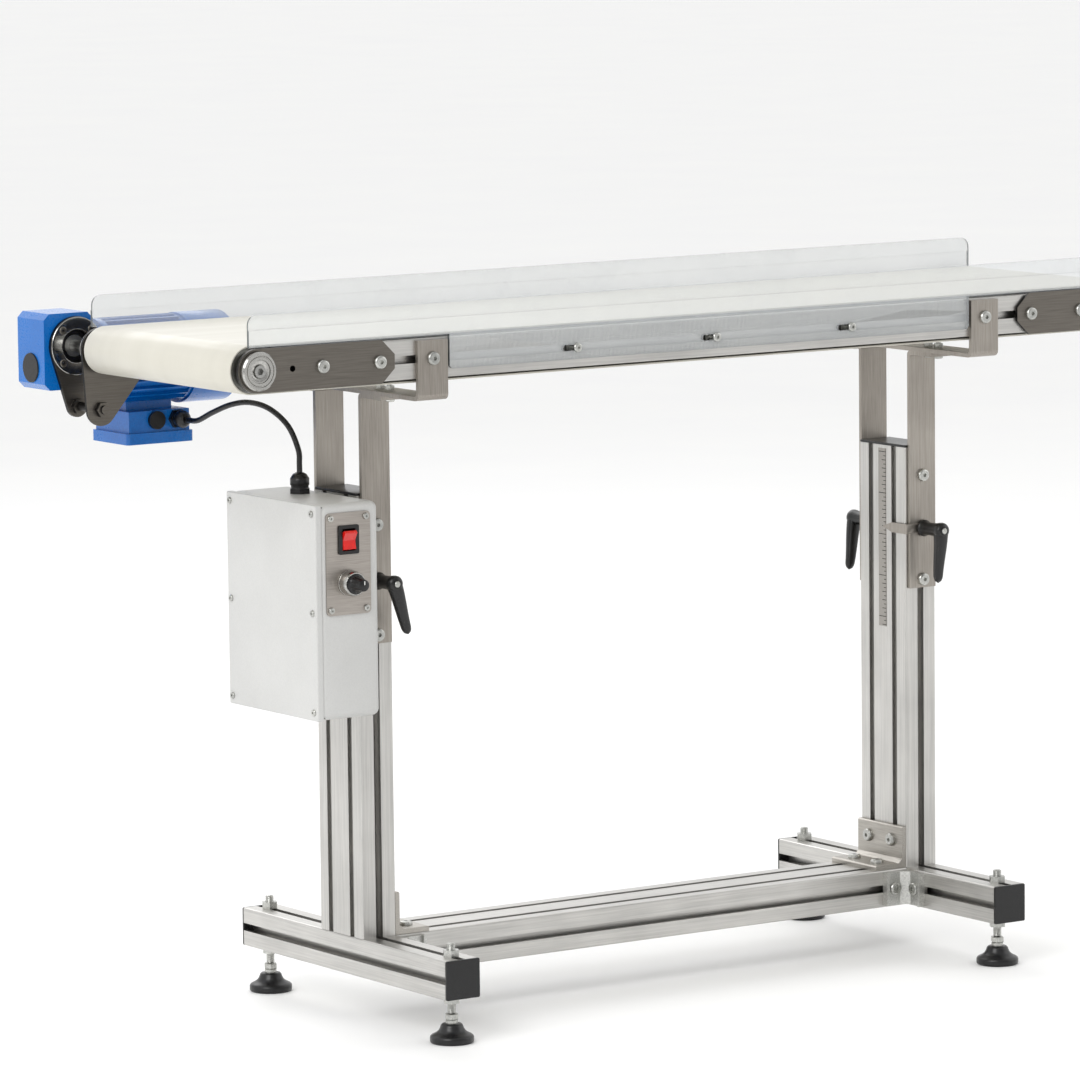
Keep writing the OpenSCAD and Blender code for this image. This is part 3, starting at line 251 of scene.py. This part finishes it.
def threaded(name, radius, pitch, low, high, spot):
    """A rolled thread along Z: the radius falls and rises once each pitch of height less the
    share of a turn, so the groove is one helix; both ends narrow to a chamfer."""
    height = np.arange(low, high, pitch / 5)[:, None]
    angle = np.linspace(0, 2 * np.pi, 20, endpoint=False)[None]
    phase = np.abs(((height / pitch - angle / (2 * np.pi)) % 1.0) * 2 - 1)
    ends = np.minimum(1.0, np.minimum(height - low, high - height) / pitch * 0.5 + 0.72)
    r = (radius - 0.62 * pitch * 0.6 * (1 - phase)) * ends / 1000
    rows = np.stack([r * np.cos(angle), r * np.sin(angle), height / 1000 + 0 * angle], -1)
    return settle(skin(name, rows + np.asarray(spot)), 80)


pad_nylon = grained("glass-filled nylon, moulded black", "#070708", "#111113", 1.4, (0.26, 0.38),
                    bump_mm=0.08, wear=0.4)
zinc = grained("zinc-plated steel", "#9a9b98", "#cfcfca", 3.0, (0.22, 0.36), metallic=1.0,
               bump_mm=0.02, wear=0.5)
pad_profile = [(0, 0), (23.2, 0), (24.4, 0.8), (25, 2.2), (25, 6.4), (24.4, 7.8), (23, 9), (20.5, 10.2),
               (17.6, 11.8), (15.4, 13.8), (14, 16), (13.1, 18.2), (12.4, 20.2), (11, 21.6), (9.5, 22),
               (0, 22)]
collar_profile = [(0, 22.05), (7, 22.05), (7, 25.6), (6.6, 26), (0, 26)]
hexagon_profile = [(0, 26), (7.2, 26), (8.08, 26.9), (8.08, 32.2), (7.2, 33), (0, 33)]
stud_radius, stud_pitch, stud_foot = 5.0, 1.5, 33


def ribbed_edge(angle, height):
    """24 shallow flats round the pad's rim, between 2.3 and 7.8 mm of height."""
    return 1 - 0.012 * ((np.cos(24 * angle) > 0.2) & (height > 0.0023) & (height < 0.0078))


for body, node in (("foot_fl", "foot_front_left"), ("foot_fr", "foot_front_right"),
                   ("foot_bl", "foot_back_left"), ("foot_br", "foot_back_right")):
    low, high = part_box(node)
    spot = ((low.x + high.x) / 2, (low.y + high.y) / 2, 0.0)
    pad = turned(node + "_pad", pad_profile, 72, spot, ribbed_edge)
    stud = threaded(node + "_stud", stud_radius, stud_pitch, stud_foot, high.z * 1000, spot)
    collar = turned(node + "_collar", collar_profile, 40, spot)
    hexagon = turned(node + "_hexagon", hexagon_profile, 6, spot)
    for piece, material, slot in ((pad, pad_nylon, "black_plastic"), (stud, zinc, "zinc_steel"),
                                  (collar, zinc, "zinc_steel"), (hexagon, zinc, "zinc_steel")):
        piece.data.materials.append(material)
        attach(piece, body)
    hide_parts(node)


# Slotted profile of the stand and the belt frame's rails: aluminium, extruded through a die and
# then anodised, which leaves fine satin lines along the bar. The lines are drawn 1.6 mm apart,
# coarser than the real ones, so that they show.
def dressed(node, material, bevel_mm=0.0):
    """Gives a CAD node its finish, and breaks its sharp edges with a narrow rounded bevel."""
    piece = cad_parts[node]
    piece.data.materials.clear()
    piece.data.materials.append(material)
    if bevel_mm:
        weld = piece.modifiers.new("weld", "WELD")
        weld.merge_threshold = 1e-5
        plane = piece.modifiers.new("flat faces", "DECIMATE")
        plane.decimate_type, plane.angle_limit = "DISSOLVE", math.radians(0.5)
        edge = piece.modifiers.new("broken edges", "BEVEL")
        edge.width = bevel_mm / 1000
        edge.segments = 2
        edge.limit_method = "ANGLE"
        edge.angle_limit = math.radians(40)
        edge.harden_normals = True
    return piece


die_lines = {"x": (60, 1, 1), "y": (1, 60, 1), "z": (1, 1, 60)}
anodised = {}
for axis, stretch in die_lines.items():
    anodised[axis] = grained("anodised aluminium, drawn along " + axis, "#b3b2af", "#d3d1cd", 1.6,
                             (0.30, 0.42), metallic=1.0, bump_mm=0.03, stretch=stretch, wear=0.35)
for node, axis in (("foot_rail_left", "y"), ("foot_rail_right", "y"), ("base_beam", "x"),
                   ("post_left", "z"), ("post_right", "z"), ("side_rail_front", "x"),
                   ("side_rail_back", "x")):
    dressed(node, anodised[axis])

# End caps: black polyamide, moulded, pressed into the ends of the profile.
cap_plastic = grained("black polyamide, moulded", "#050506", "#0f0f11", 0.9, (0.24, 0.36),
                      bump_mm=0.05, wear=0.3)
dressed("profile_caps", cap_plastic, 0.8)

# Brackets and screws: angle plates folded from steel and passivated, cast corner angles tumbled
# smooth, and zinc-plated button-head screws and nuts.
folded_steel = grained("folded steel, nickel grey", "#9a9690", "#bdb9b2", 1.2, (0.32, 0.46), metallic=1.0,
                       bump_mm=0.02, stretch=(1, 24, 1), wear=0.4)
cast_angle = grained("die-cast aluminium, tumbled", "#b4b4b1", "#d6d6d2", 1.8, (0.38, 0.55),
                     metallic=1.0, bump_mm=0.12)
dressed("post_brackets", folded_steel, 0.5)
dressed("corner_brackets", cast_angle, 0.6)
dressed("stand_fasteners", zinc)

# Height scale: a thin etched aluminium strip with black marks, a short one each 5 mm, a longer
# one each 10 mm, and a full-width one each 50 mm.
ruled, tree, shader, place = finish_of("etched aluminium rule", Metallic=0.7, Roughness=0.38)
low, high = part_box("height_scale")
axes = add(tree, "SeparateXYZ", Vector=place).outputs
marks = 0.0
for step_mm, reach in ((5, 0.28), (10, 0.5), (50, 0.95)):
    share = worked(tree, "DIVIDE", axes["Z"], step_mm / 1000)
    rest = worked(tree, "PINGPONG", share, 0.5)
    line = worked(tree, "LESS_THAN", rest, 0.42 / step_mm)
    edge = worked(tree, "LESS_THAN", axes["Y"], low.y + (high.y - low.y) * reach)
    drawn = worked(tree, "MULTIPLY", line, edge)
    marks = worked(tree, "MAXIMUM", marks, drawn)
fleck = noise(tree, place, 700.0, 2.0)
plain = between(tree, fleck, "#8f8b86", "#aaa6a0")
inked = between(tree, marks, plain, "#101010")
tree.links.new(inked, shader.inputs["Base Color"])
dressed("height_scale", ruled)


# Control box: a die-cast aluminium housing and its screwed-on lid, both sprayed with light grey
# powder coat, which flows to a faint orange peel. The casting's outer edges are well rounded.
def rounded_block(name, low, high, radius, steps=4):
    """A box with every edge rounded: each point of a cube's surface is pulled to the ball of that
    radius whose centre is the nearest point of the inner box."""
    low, high = np.asarray(low, float), np.asarray(high, float)
    middle, half = (low + high) / 2, (high - low) / 2
    bend = radius * np.tan(np.linspace(0, np.pi / 4, steps + 1))
    parts = []
    for axis in range(3):
        u, v = [k for k in range(3) if k != axis]
        run = [np.concatenate([-(half[k] - radius) - bend[::-1], (half[k] - radius) + bend]) for k in (u, v)]
        a, b = np.meshgrid(*run, indexing="ij")
        for sign in (-1, 1):
            q = np.zeros(a.shape + (3,))
            q[..., u], q[..., v], q[..., axis] = a, b, sign * half[axis]
            core = np.clip(q, -(half - radius), half - radius)
            away = q - core
            parts.append(core + radius * away / np.linalg.norm(away, axis=-1, keepdims=True) + middle)
    made = [skin(name, part, closed_rows=False, capped=False) for part in parts]
    work = bmesh.new()
    for part in made:
        work.from_mesh(part.data)
        if part is not made[0]:
            bpy.data.objects.remove(part)
    bmesh.ops.remove_doubles(work, verts=work.verts, dist=1e-6)
    bmesh.ops.recalc_face_normals(work, faces=work.faces)
    work.to_mesh(made[0].data)
    work.free()
    made[0].name = name
    return settle(made[0], 50)


def cut(piece, *tools):
    """The piece with each tool's space removed; the tools are deleted."""
    for tool in tools:
        change = piece.modifiers.new("cut", "BOOLEAN")
        change.object, change.operation, change.solver = tool, "DIFFERENCE", "EXACT"
    graph = bpy.context.evaluated_depsgraph_get()
    mesh = bpy.data.meshes.new_from_object(piece.evaluated_get(graph))
    piece.modifiers.clear()
    old, piece.data = piece.data, mesh
    bpy.data.meshes.remove(old)
    for tool in tools:
        bpy.data.objects.remove(tool)
    mesh.name = piece.name
    return settle(piece, 50)


box_coat = grained("light grey powder coat on cast aluminium", "#bebebc", "#cacac8", 1.9, (0.34, 0.44),
                   bump_mm=0.09, wear=0.5)
low, high = (np.array(corner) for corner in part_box("box_shell"))
lid_low = np.array(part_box("box_lid")[0])
rocker_low, rocker_high = (np.array(corner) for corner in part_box("switch_frame"))
dial_low, dial_high = (np.array(corner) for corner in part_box("speed_control"))
dial = (dial_low + dial_high) / 2
seam = lid_low[0] + 0.0085             # where the lid ends and the casting begins to show
tongue = 0.0045                        # how far the casting reaches under the lid
shell = rounded_block("control_box_casting", (seam - tongue, low[1] + 0.0003, low[2] + 0.0003), high, 0.0085)

# The openings for the rocker switch and the dial's bush, sunk well into the front wall.
wall_cut = np.array([low[1] - 0.01, low[1] + 0.03])
bush_half = 0.013
pocket = rounded_block("pocket", (rocker_low[0] + 0.0024, wall_cut[0], rocker_low[2] + 0.0014),
                       (rocker_high[0] - 0.0024, wall_cut[1], rocker_high[2] - 0.0014), 0.0005, 1)
bush = rounded_block("bush", (dial[0] - bush_half, wall_cut[0], dial[2] - bush_half),
                     (dial[0] + bush_half, wall_cut[1], dial[2] + bush_half), 0.0005, 1)
cut(shell, pocket, bush)
lid = rounded_block("control_box_lid", lid_low, (seam, high[1], high[2]), 0.0018)
inset = 0.0022                         # the gasket's groove, in from the box's faces
gasket = rounded_block("control_box_gasket", (seam - 0.002, low[1] + inset, low[2] + inset),
                       (seam + 0.003, high[1] - inset, high[2] - inset), 0.001, 2)
rubber = grained("foamed neoprene cord", "#6f6f6c", "#85857f", 0.8, (0.7, 0.85), bump_mm=0.05)
for piece, material, slot in ((shell, box_coat, "grey_enamel"), (lid, box_coat, "grey_enamel"),
                              (gasket, rubber, "black_plastic")):
    piece.data.materials.append(material)
    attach(piece, "stand")
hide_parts("box_shell")
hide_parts("box_lid")
dressed("box_fasteners", zinc)
dressed("box_glands", cap_plastic, 0.3)
black_anodised = grained("anodised heat sink, black", "#15171a", "#2b2f34", 1.5, (0.4, 0.55), bump_mm=0.05)
dressed("motor_drive", black_anodised)

# Control plate: stainless sheet, brushed across, with the rocker switch and the speed dial.
# The brush lines run left to right and are drawn 0.8 mm apart so that they show.
brushed = grained("brushed stainless sheet", "#97918b", "#b9b2ab", 0.8, (0.30, 0.44), metallic=1.0,
                  bump_mm=0.02, stretch=(40, 1, 1), wear=0.35)
dressed("control_plate", brushed, 0.4)
dressed("switch_frame", cap_plastic, 0.35)

# Rocker: a glossy red polycarbonate cap, plain on both halves, with a faint painted glow in its red.
# Emission_Strength 0.12 in red is a painted glow that brightens the cap.
red_cap, tree, shader, place = finish_of("clear red polycarbonate", Roughness=0.18, Coat_Weight=0.5,
                                         Coat_Roughness=0.08, Emission_Strength=0.12,
                                         Emission_Color=linear("#e01408"))
cloud = noise(tree, place, 160.0, 2.0)
redden = between(tree, cloud, "#a80a08", "#e01a12")
tree.links.new(redden, shader.inputs["Base Color"])
dressed("switch_rocker", red_cap, 0.5)

# Speed dial: a turned collar on the plate, and a knob with an aluminium skirt and a black
# grip, fluted for the fingers, that narrows to its marked end.
satin_turned = grained("turned aluminium, satin", "#8f8e8b", "#cccbc7", 0.9, (0.1, 0.22), metallic=1.0,
                       bump_mm=0.02)
dressed("speed_control", satin_turned, 0.4)


def lay_over(piece, spot):
    """Turns a piece made about Z so that its axis runs to -Y from the spot."""
    piece.data.transform(Matrix.Translation(tuple(spot)) @ Matrix.Rotation(math.radians(90), 4, "X"))
    return piece


def knurled_rim(angle, height):
    """48 fine grooves round the skirt's foot, below 3 mm of height."""
    return 1 - 0.012 * (np.cos(48 * angle) > 0) * (height < 0.0030) * (height > 0.0005)


def finger_flutes(angle, height):
    """12 round flutes along the grip, between 13.5 and 28.5 mm of height."""
    return 1 - 0.07 * (0.5 + 0.5 * np.cos(12 * angle)) * (height > 0.0135) * (height < 0.0285)


skirt_profile = [(0, 0), (14.0, 0), (14.8, 0.8), (14.6, 5.5), (13.6, 10.4), (12.8, 11.6), (11.9, 11.6),
                 (11.7, 10.4), (0, 10.4)]
grip_profile = [(0, 10.4), (11.6, 10.4), (11.4, 12.2), (9.4, 13.2), (8.8, 15), (8.3, 20), (7.4, 26),
                (6.6, 28.8), (5.0, 29.8), (0, 30)]
collar_face = dial_low[1] - 0.0004     # the knob turns 0.4 mm clear of its collar
knob_foot = (dial[0], collar_face, dial[2])
knob_skirt = lay_over(turned("speed_knob_skirt", skirt_profile, 72, flute=knurled_rim), knob_foot)
knob_grip = lay_over(turned("speed_knob_grip", grip_profile, 96, flute=finger_flutes), knob_foot)
knob_mark = rounded_block("speed_knob_mark", (dial[0] - 0.0005, collar_face - 0.0302, dial[2] + 0.0008),
                          (dial[0] + 0.0005, collar_face - 0.0294, dial[2] + 0.0050), 0.0001, 1)
white_ink = grained("white pad-printed ink", "#e4e4e0", "#f4f4f0", 1.0, (0.4, 0.5))
for piece, material in ((knob_skirt, satin_turned), (knob_grip, cap_plastic), (knob_mark, white_ink)):
    piece.data.materials.append(material)
    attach(piece, "knob")
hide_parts("speed_knob")

# Belt frame: round steel ties between the rails, and the sheet that the belt slides on.
drawn_steel = grained("bright drawn steel", "#8d8d8b", "#b9b9b6", 1.0, (0.25, 0.4), metallic=1.0,
                      bump_mm=0.02, stretch=(1, 30, 1))
rolled_sheet = grained("cold-rolled sheet", "#85878a", "#a6a8aa", 1.5, (0.3, 0.45), metallic=1.0,
                       stretch=(30, 1, 1))
dressed("cross_ties", drawn_steel)
dressed("slider_bed", rolled_sheet)

# Belt: two plies of polyester cloth under a cream polyurethane cover, about 2 mm thick and cut
# clean at its edges. The cover is satin, with the cloth's weave faintly printed through it,
# coarser than the real one so that it shows, with faint grey streaks where goods rub along it.
cover, tree, shader, place = finish_of("cream polyurethane belt cover", Coat_Weight=0.08,
                                       Coat_Roughness=0.3, IOR=1.5)
threads = [add(tree, "TexWave", {"wave_type": "BANDS", "bands_direction": direction}, Vector=place,
               Scale=66.0, Distortion=0.6).outputs["Fac"] for direction in ("X", "Y")]
cloth = worked(tree, "MULTIPLY", threads[0], threads[1])
along = add(tree, "Mapping", Vector=place, Scale=(0.5, 9.0, 0.5)).outputs[0]
rubbed = noise(tree, along, 3.0, 5.0, 0.6)
soiled = ranged(tree, rubbed, From_Min=0.35, From_Max=0.75)
tint = between(tree, soiled, "#c9c6bb", "#c5c2b7")
tree.links.new(tint, shader.inputs["Base Color"])
satin = ranged(tree, soiled, To_Min=0.36, To_Max=0.5)
tree.links.new(satin, shader.inputs["Roughness"])
weave = add(tree, "Bump", Height=cloth, Distance=0.00008, Strength=0.5).outputs[0]
tree.links.new(weave, shader.inputs["Normal"])
dressed("belt", cover, 0.5)

# Head and tail plates: 4 mm stainless sheet, laser-cut and left with its mill finish. The cut edges are
# painted
# nearly black: partly the cut's own dark oxide, partly painted shade for the gap round the plates. Turned
# aluminium bearing hubs stand in them.
laser_cut, tree, shader, place = finish_of("stainless plate, laser-cut", Metallic=1.0)
flat = faces_y(tree, 0.6)
rolled = add(tree, "Mapping", Vector=place, Scale=(0.03, 1.0, 1.0)).outputs[0]
lines = noise(tree, rolled, 900.0, 4.0)
mill = between(tree, lines, "#5b5752", "#817c75")
# Faces not square to Y, the cut edges, take #2b2a29: painted shade for the gap round the plates, over the
# cut's dark oxide.
cut_edge_shade = between(tree, flat, "#2b2a29", mill)
tree.links.new(cut_edge_shade, shader.inputs["Base Color"])
tree.links.new(ranged(tree, lines, To_Min=0.34, To_Max=0.48), shader.inputs["Roughness"])
scratched = add(tree, "Bump", Height=lines, Distance=0.00002, Strength=0.5).outputs[0]
tree.links.new(scratched, shader.inputs["Normal"])
for node in ("head_plate_front", "head_plate_back", "tail_plates"):
    dressed(node, laser_cut, 0.4)
bearing_profile = [(7.15, -8), (7.15, 4.6), (8.6, 5.6), (12.6, 5.6), (13.2, 6.9), (16.2, 6.9), (16.7, 5.9),
                   (17.5, 5.9), (17.9, 6.9), (20.4, 6.9), (21.9, 5.4), (21.9, -4), (15, -8), (7.15, -8)]
plate_faces = (("front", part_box("head_plate_front")[0].y), ("back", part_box("head_plate_back")[1].y))
axle = (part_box("drive_roller")[0].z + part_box("drive_roller")[1].z) / 2
for end, roller in (("drive", "drive_roller"), ("tail", "tail_roller")):
    shaft_low, shaft_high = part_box(roller)
    across_x = (shaft_low.x + shaft_high.x) / 2
    for side, face in plate_faces:
        hub = turned("bearing_" + end + "_" + side, bearing_profile, 72, capped=False)
        if side == "back":
            hub.data.transform(Matrix.Rotation(math.radians(180), 4, "X"))
        lay_over(hub, (across_x, face, axle))
        hub.data.materials.append(satin_turned)
        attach(hub, "conveyor")
        if (end, side) == ("drive", "front"):
            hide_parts("bearings")
dressed("frame_screws", zinc)
dressed("drive_roller", drawn_steel)
dressed("tail_roller", drawn_steel)

# Side guards: clear polycarbonate sheet, a thick strip below bonded to a thinner one above.
# The faces get a faint, patchy whitish tint, painted sheen for the sheet's reflection of the bright room;
# the sawn edges are painted dark grey as painted shade.
clear, tree, shader, place = finish_of("clear polycarbonate sheet", IOR=1.585)
sheen_patches = noise(tree, place, 14.0, 6.0, 0.65)
sheet = faces_y(tree, 0.5)
# The faces' whitish tint is painted sheen for reflection, and the edges' #4f5456 at near-full alpha is
# painted shade.
painted_sheen_tint = between(tree, sheen_patches, "#e9eced", "#d9dddf")
sheen_and_edge_shade = between(tree, sheet, "#4f5456", painted_sheen_tint)
tree.links.new(sheen_and_edge_shade, shader.inputs["Base Color"])
tree.links.new(ranged(tree, sheen_patches, To_Min=0.04, To_Max=0.14), shader.inputs["Roughness"])
veil = ranged(tree, sheen_patches, To_Min=0.24, To_Max=0.34)
cover_share = add(tree, "Mix", {"data_type": "FLOAT"}, i0=sheet, i2=0.92, i3=veil).outputs[0]
tree.links.new(cover_share, shader.inputs["Alpha"])
for node in ("guard_front", "guard_back"):
    dressed(node, clear, 0.3)
dressed("guard_screws", zinc)

# Lifting gear: straps and bars folded from 5 mm stainless flat, brushed along their length, and
# a bent pointer over the height scale.
flat_bar = grained("brushed stainless flat", "#8b857e", "#b2aca4", 0.9, (0.32, 0.46), metallic=1.0,
                   bump_mm=0.02, stretch=(1, 1, 50), wear=0.4)
for node in ("support_straps", "lift_bars_left", "lift_bars_right", "height_pointer"):
    dressed(node, flat_bar, 0.4)
dressed("guide_bolts", zinc)


# Clamping levers: glass-filled nylon handles moulded on a steel insert. The hub flares to a
# foot, and the arm leaves its shoulder, narrows and leans away to a rounded tip. A steel
# button in the hub lifts the lever off its teeth.
def lever_arm(name, length):
    """The arm in its own frame, hub axis on Z and the arm running to -Y: half width and half
    thickness shrink along it, and its section is a superellipse of power 2.6."""
    s = np.linspace(0, 1, 26)[:, None]
    path = np.hstack([0 * s, -length * s, 0.0335 + 0.0015 * s - 0.007 * np.sin(np.pi * s * 0.5) ** 2])
    end = np.sqrt(np.clip(1 - np.clip((s - 0.86) / 0.14, 0, 1) ** 2, 0.0004, 1))
    start = np.sqrt(np.clip(1 - np.clip((0.08 - s) / 0.08, 0, 1) ** 2, 0.0004, 1))
    wide = (0.0092 - 0.0040 * s) * end * start
    thick = (0.0070 - 0.0026 * s) * end * start
    angle = np.linspace(0, 2 * np.pi, 28, endpoint=False)[None]
    c, d = np.cos(angle), np.sin(angle)
    squared = 2 / 2.6
    u = wide * np.sign(c) * np.abs(c) ** squared
    v = thick * np.sign(d) * np.abs(d) ** squared
    outline = np.stack([u, v], -1)
    return settle(carried(name, path, (1, 0, 0), outline), 60)


lever_nylon = grained("glass-filled nylon lever, satin black", "#060606", "#111011", 1.1, (0.24, 0.36),
                      bump_mm=0.06, wear=0.4)
lever_profile = [(0, 0), (9.6, 0), (10, 0.6), (10, 2.2), (9.2, 3.2), (8.0, 6), (7.6, 12), (7.8, 20),
                 (8.4, 27), (9.2, 31), (9.6, 34), (9.4, 37), (8.4, 39), (6.4, 40.4), (4.3, 40.8),
                 (4.3, 39.4), (0, 39.4)]
button_profile = [(0, 39.4), (3.6, 39.4), (3.6, 41.2), (3.0, 41.8), (0, 42)]
lever_height = 0.5102                  # of the hub's axis above the floor
arm_length = 0.0640
levers = (("lever_lf", "lever_left_front", -1, -20), ("lever_lb", "lever_left_back", 1, -15),
          ("lever_rf", "lever_right_front", -1, 0), ("lever_rb", "lever_right_back", 1, 12))
for body, node, side, lean in levers:
    low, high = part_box(node)
    lo_bar, hi_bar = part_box("lift_bars_left" if "left" in node else "lift_bars_right")
    middle_x = (lo_bar.x + hi_bar.x) / 2
    seat = low.y if side > 0 else high.y
    facing_out = Matrix.Rotation(math.radians(180 if side > 0 else 0), 4, "Z")
    upright = Matrix.Rotation(math.radians(90), 4, "X")
    swing = Matrix.Rotation(math.radians(lean), 4, "Y")
    set_down = Matrix.Translation((middle_x, seat, lever_height))
    hub = turned(node + "_hub", lever_profile, 48)
    arm = lever_arm(node + "_arm", arm_length)
    button = turned(node + "_button", button_profile, 32)
    for piece, material, slot in ((hub, lever_nylon, "black_plastic"), (arm, lever_nylon, "black_plastic"),
                                  (button, zinc, "zinc_steel")):
        piece.data.transform(set_down @ swing @ facing_out @ upright)
        piece.data.materials.append(material)
        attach(piece, body)
    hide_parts(node)

# Worm gear unit: a die-cast aluminium housing in blue enamel, bolted to a torque plate of
# stainless sheet through a turned ring, with black oil seals and a bronze-rimmed wheel inside.
blue = grained("blue enamel on cast aluminium", "#005aa8", "#036fc4", 2.6, (0.22, 0.36), bump_mm=0.1,
               wear=0.4, Coat_Weight=0.3, Coat_Roughness=0.12)
dressed("gearbox_housing", blue, 1.2)
dressed("gearbox_covers", cap_plastic, 0.4)
dressed("torque_arm", laser_cut, 0.4)
ring_profile = [(19.6, 0), (33.4, 0), (33.4, 0.8), (32.8, 1.3), (20.2, 1.3), (19.6, 0.9), (19.6, 0)]
arm_thickness = 0.00505                # with 0.05 mm of room behind the ring
shaft_x = (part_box("drive_roller")[0].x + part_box("drive_roller")[1].x) / 2
ring_spot = (shaft_x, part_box("gearbox_housing")[0].y - arm_thickness, axle)
ring = lay_over(turned("torque_ring", ring_profile, 96, capped=False), ring_spot)
ring.data.materials.append(satin_turned)
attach(ring, "conveyor")
bronze, tree, shader, place = finish_of("bronze rim on a steel hub", Metallic=1.0, Roughness=0.32)
low, high = (np.array(corner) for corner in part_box("worm_wheel"))
spun = noise(tree, place, 900.0, 3.0)
rim_colour = between(tree, spun, "#8a6428", "#c79b4e")
hub_colour = between(tree, spun, "#9a9a98", "#c4c4c0")
rim_half = 0.0055
from_middle = worked(tree, "SUBTRACT", along_axis(tree, place, "Y"), (low[1] + high[1]) / 2)
on_hub = worked(tree, "GREATER_THAN", worked(tree, "ABSOLUTE", from_middle), rim_half)
tree.links.new(between(tree, on_hub, rim_colour, hub_colour), shader.inputs["Base Color"])
dressed("worm_wheel", bronze)
dressed("motor_rotor", drawn_steel)

# Motor: a finned aluminium body, end shields and a pressed fan cowl, all in the same enamel,
# with a connection box below it that is closed by a screwed lid.
dressed("motor_housing", blue, 0.3)
dressed("fan_cowl", blue, 0.5)
dressed("terminal_box", blue, 1.2)
dressed("terminal_fittings", cap_plastic, 0.4)
dressed("cooling_fan", cap_plastic)

# Floor and light: a pale seamless floor under three large soft boxes, in a bright room whose
# front, behind the camera, is about half as bright as its back.
half = 40.0
floor_corners = np.array([[[-half, -half, 0], [half, -half, 0]],
                          [[-half, half, 0], [half, half, 0]]])
floor = skin("floor", floor_corners, closed_rows=False, capped=False)
floor.data.materials.append(grained("pale studio floor", "#fafafa", "#fcfcfb", 400.0, (0.6, 0.7)))
bpy.context.scene.view_settings.view_transform = "Standard"
world = bpy.data.worlds.new("studio")
bpy.context.scene.world = world
world.use_nodes = True
sky = world.node_tree
background = sky.nodes["Background"]
toward = along_axis(sky, add(sky, "TexCoord").outputs["Generated"], "Y")
room = ranged(sky, toward, From_Min=-0.9, From_Max=0.1, To_Min=0.55, To_Max=1.08)
sky.links.new(room, background.inputs["Strength"])
background.inputs["Color"].default_value = linear("#fdfdfd")
lamps = (("key", (-3.6, -1.8, 3.0), 2.4, 85), ("fill", (3.4, -2.0, 2.0), 2.6, 20),
         ("back", (0.6, 3.4, 3.2), 2.6, 40))
aimed_at = np.array([0.0, 0.0, 0.5])
for name, spot, size, power in lamps:
    lamp = bpy.data.lights.new(name, "AREA")
    lamp.shape, lamp.size, lamp.energy = "SQUARE", size, power
    holder = bpy.data.objects.new(name, lamp)
    aim = Vector(aimed_at - np.array(spot)).to_track_quat("-Z", "Y")
    holder.matrix_world = Matrix.Translation(spot) @ aim.to_matrix().to_4x4()
    bpy.context.scene.collection.objects.link(holder)
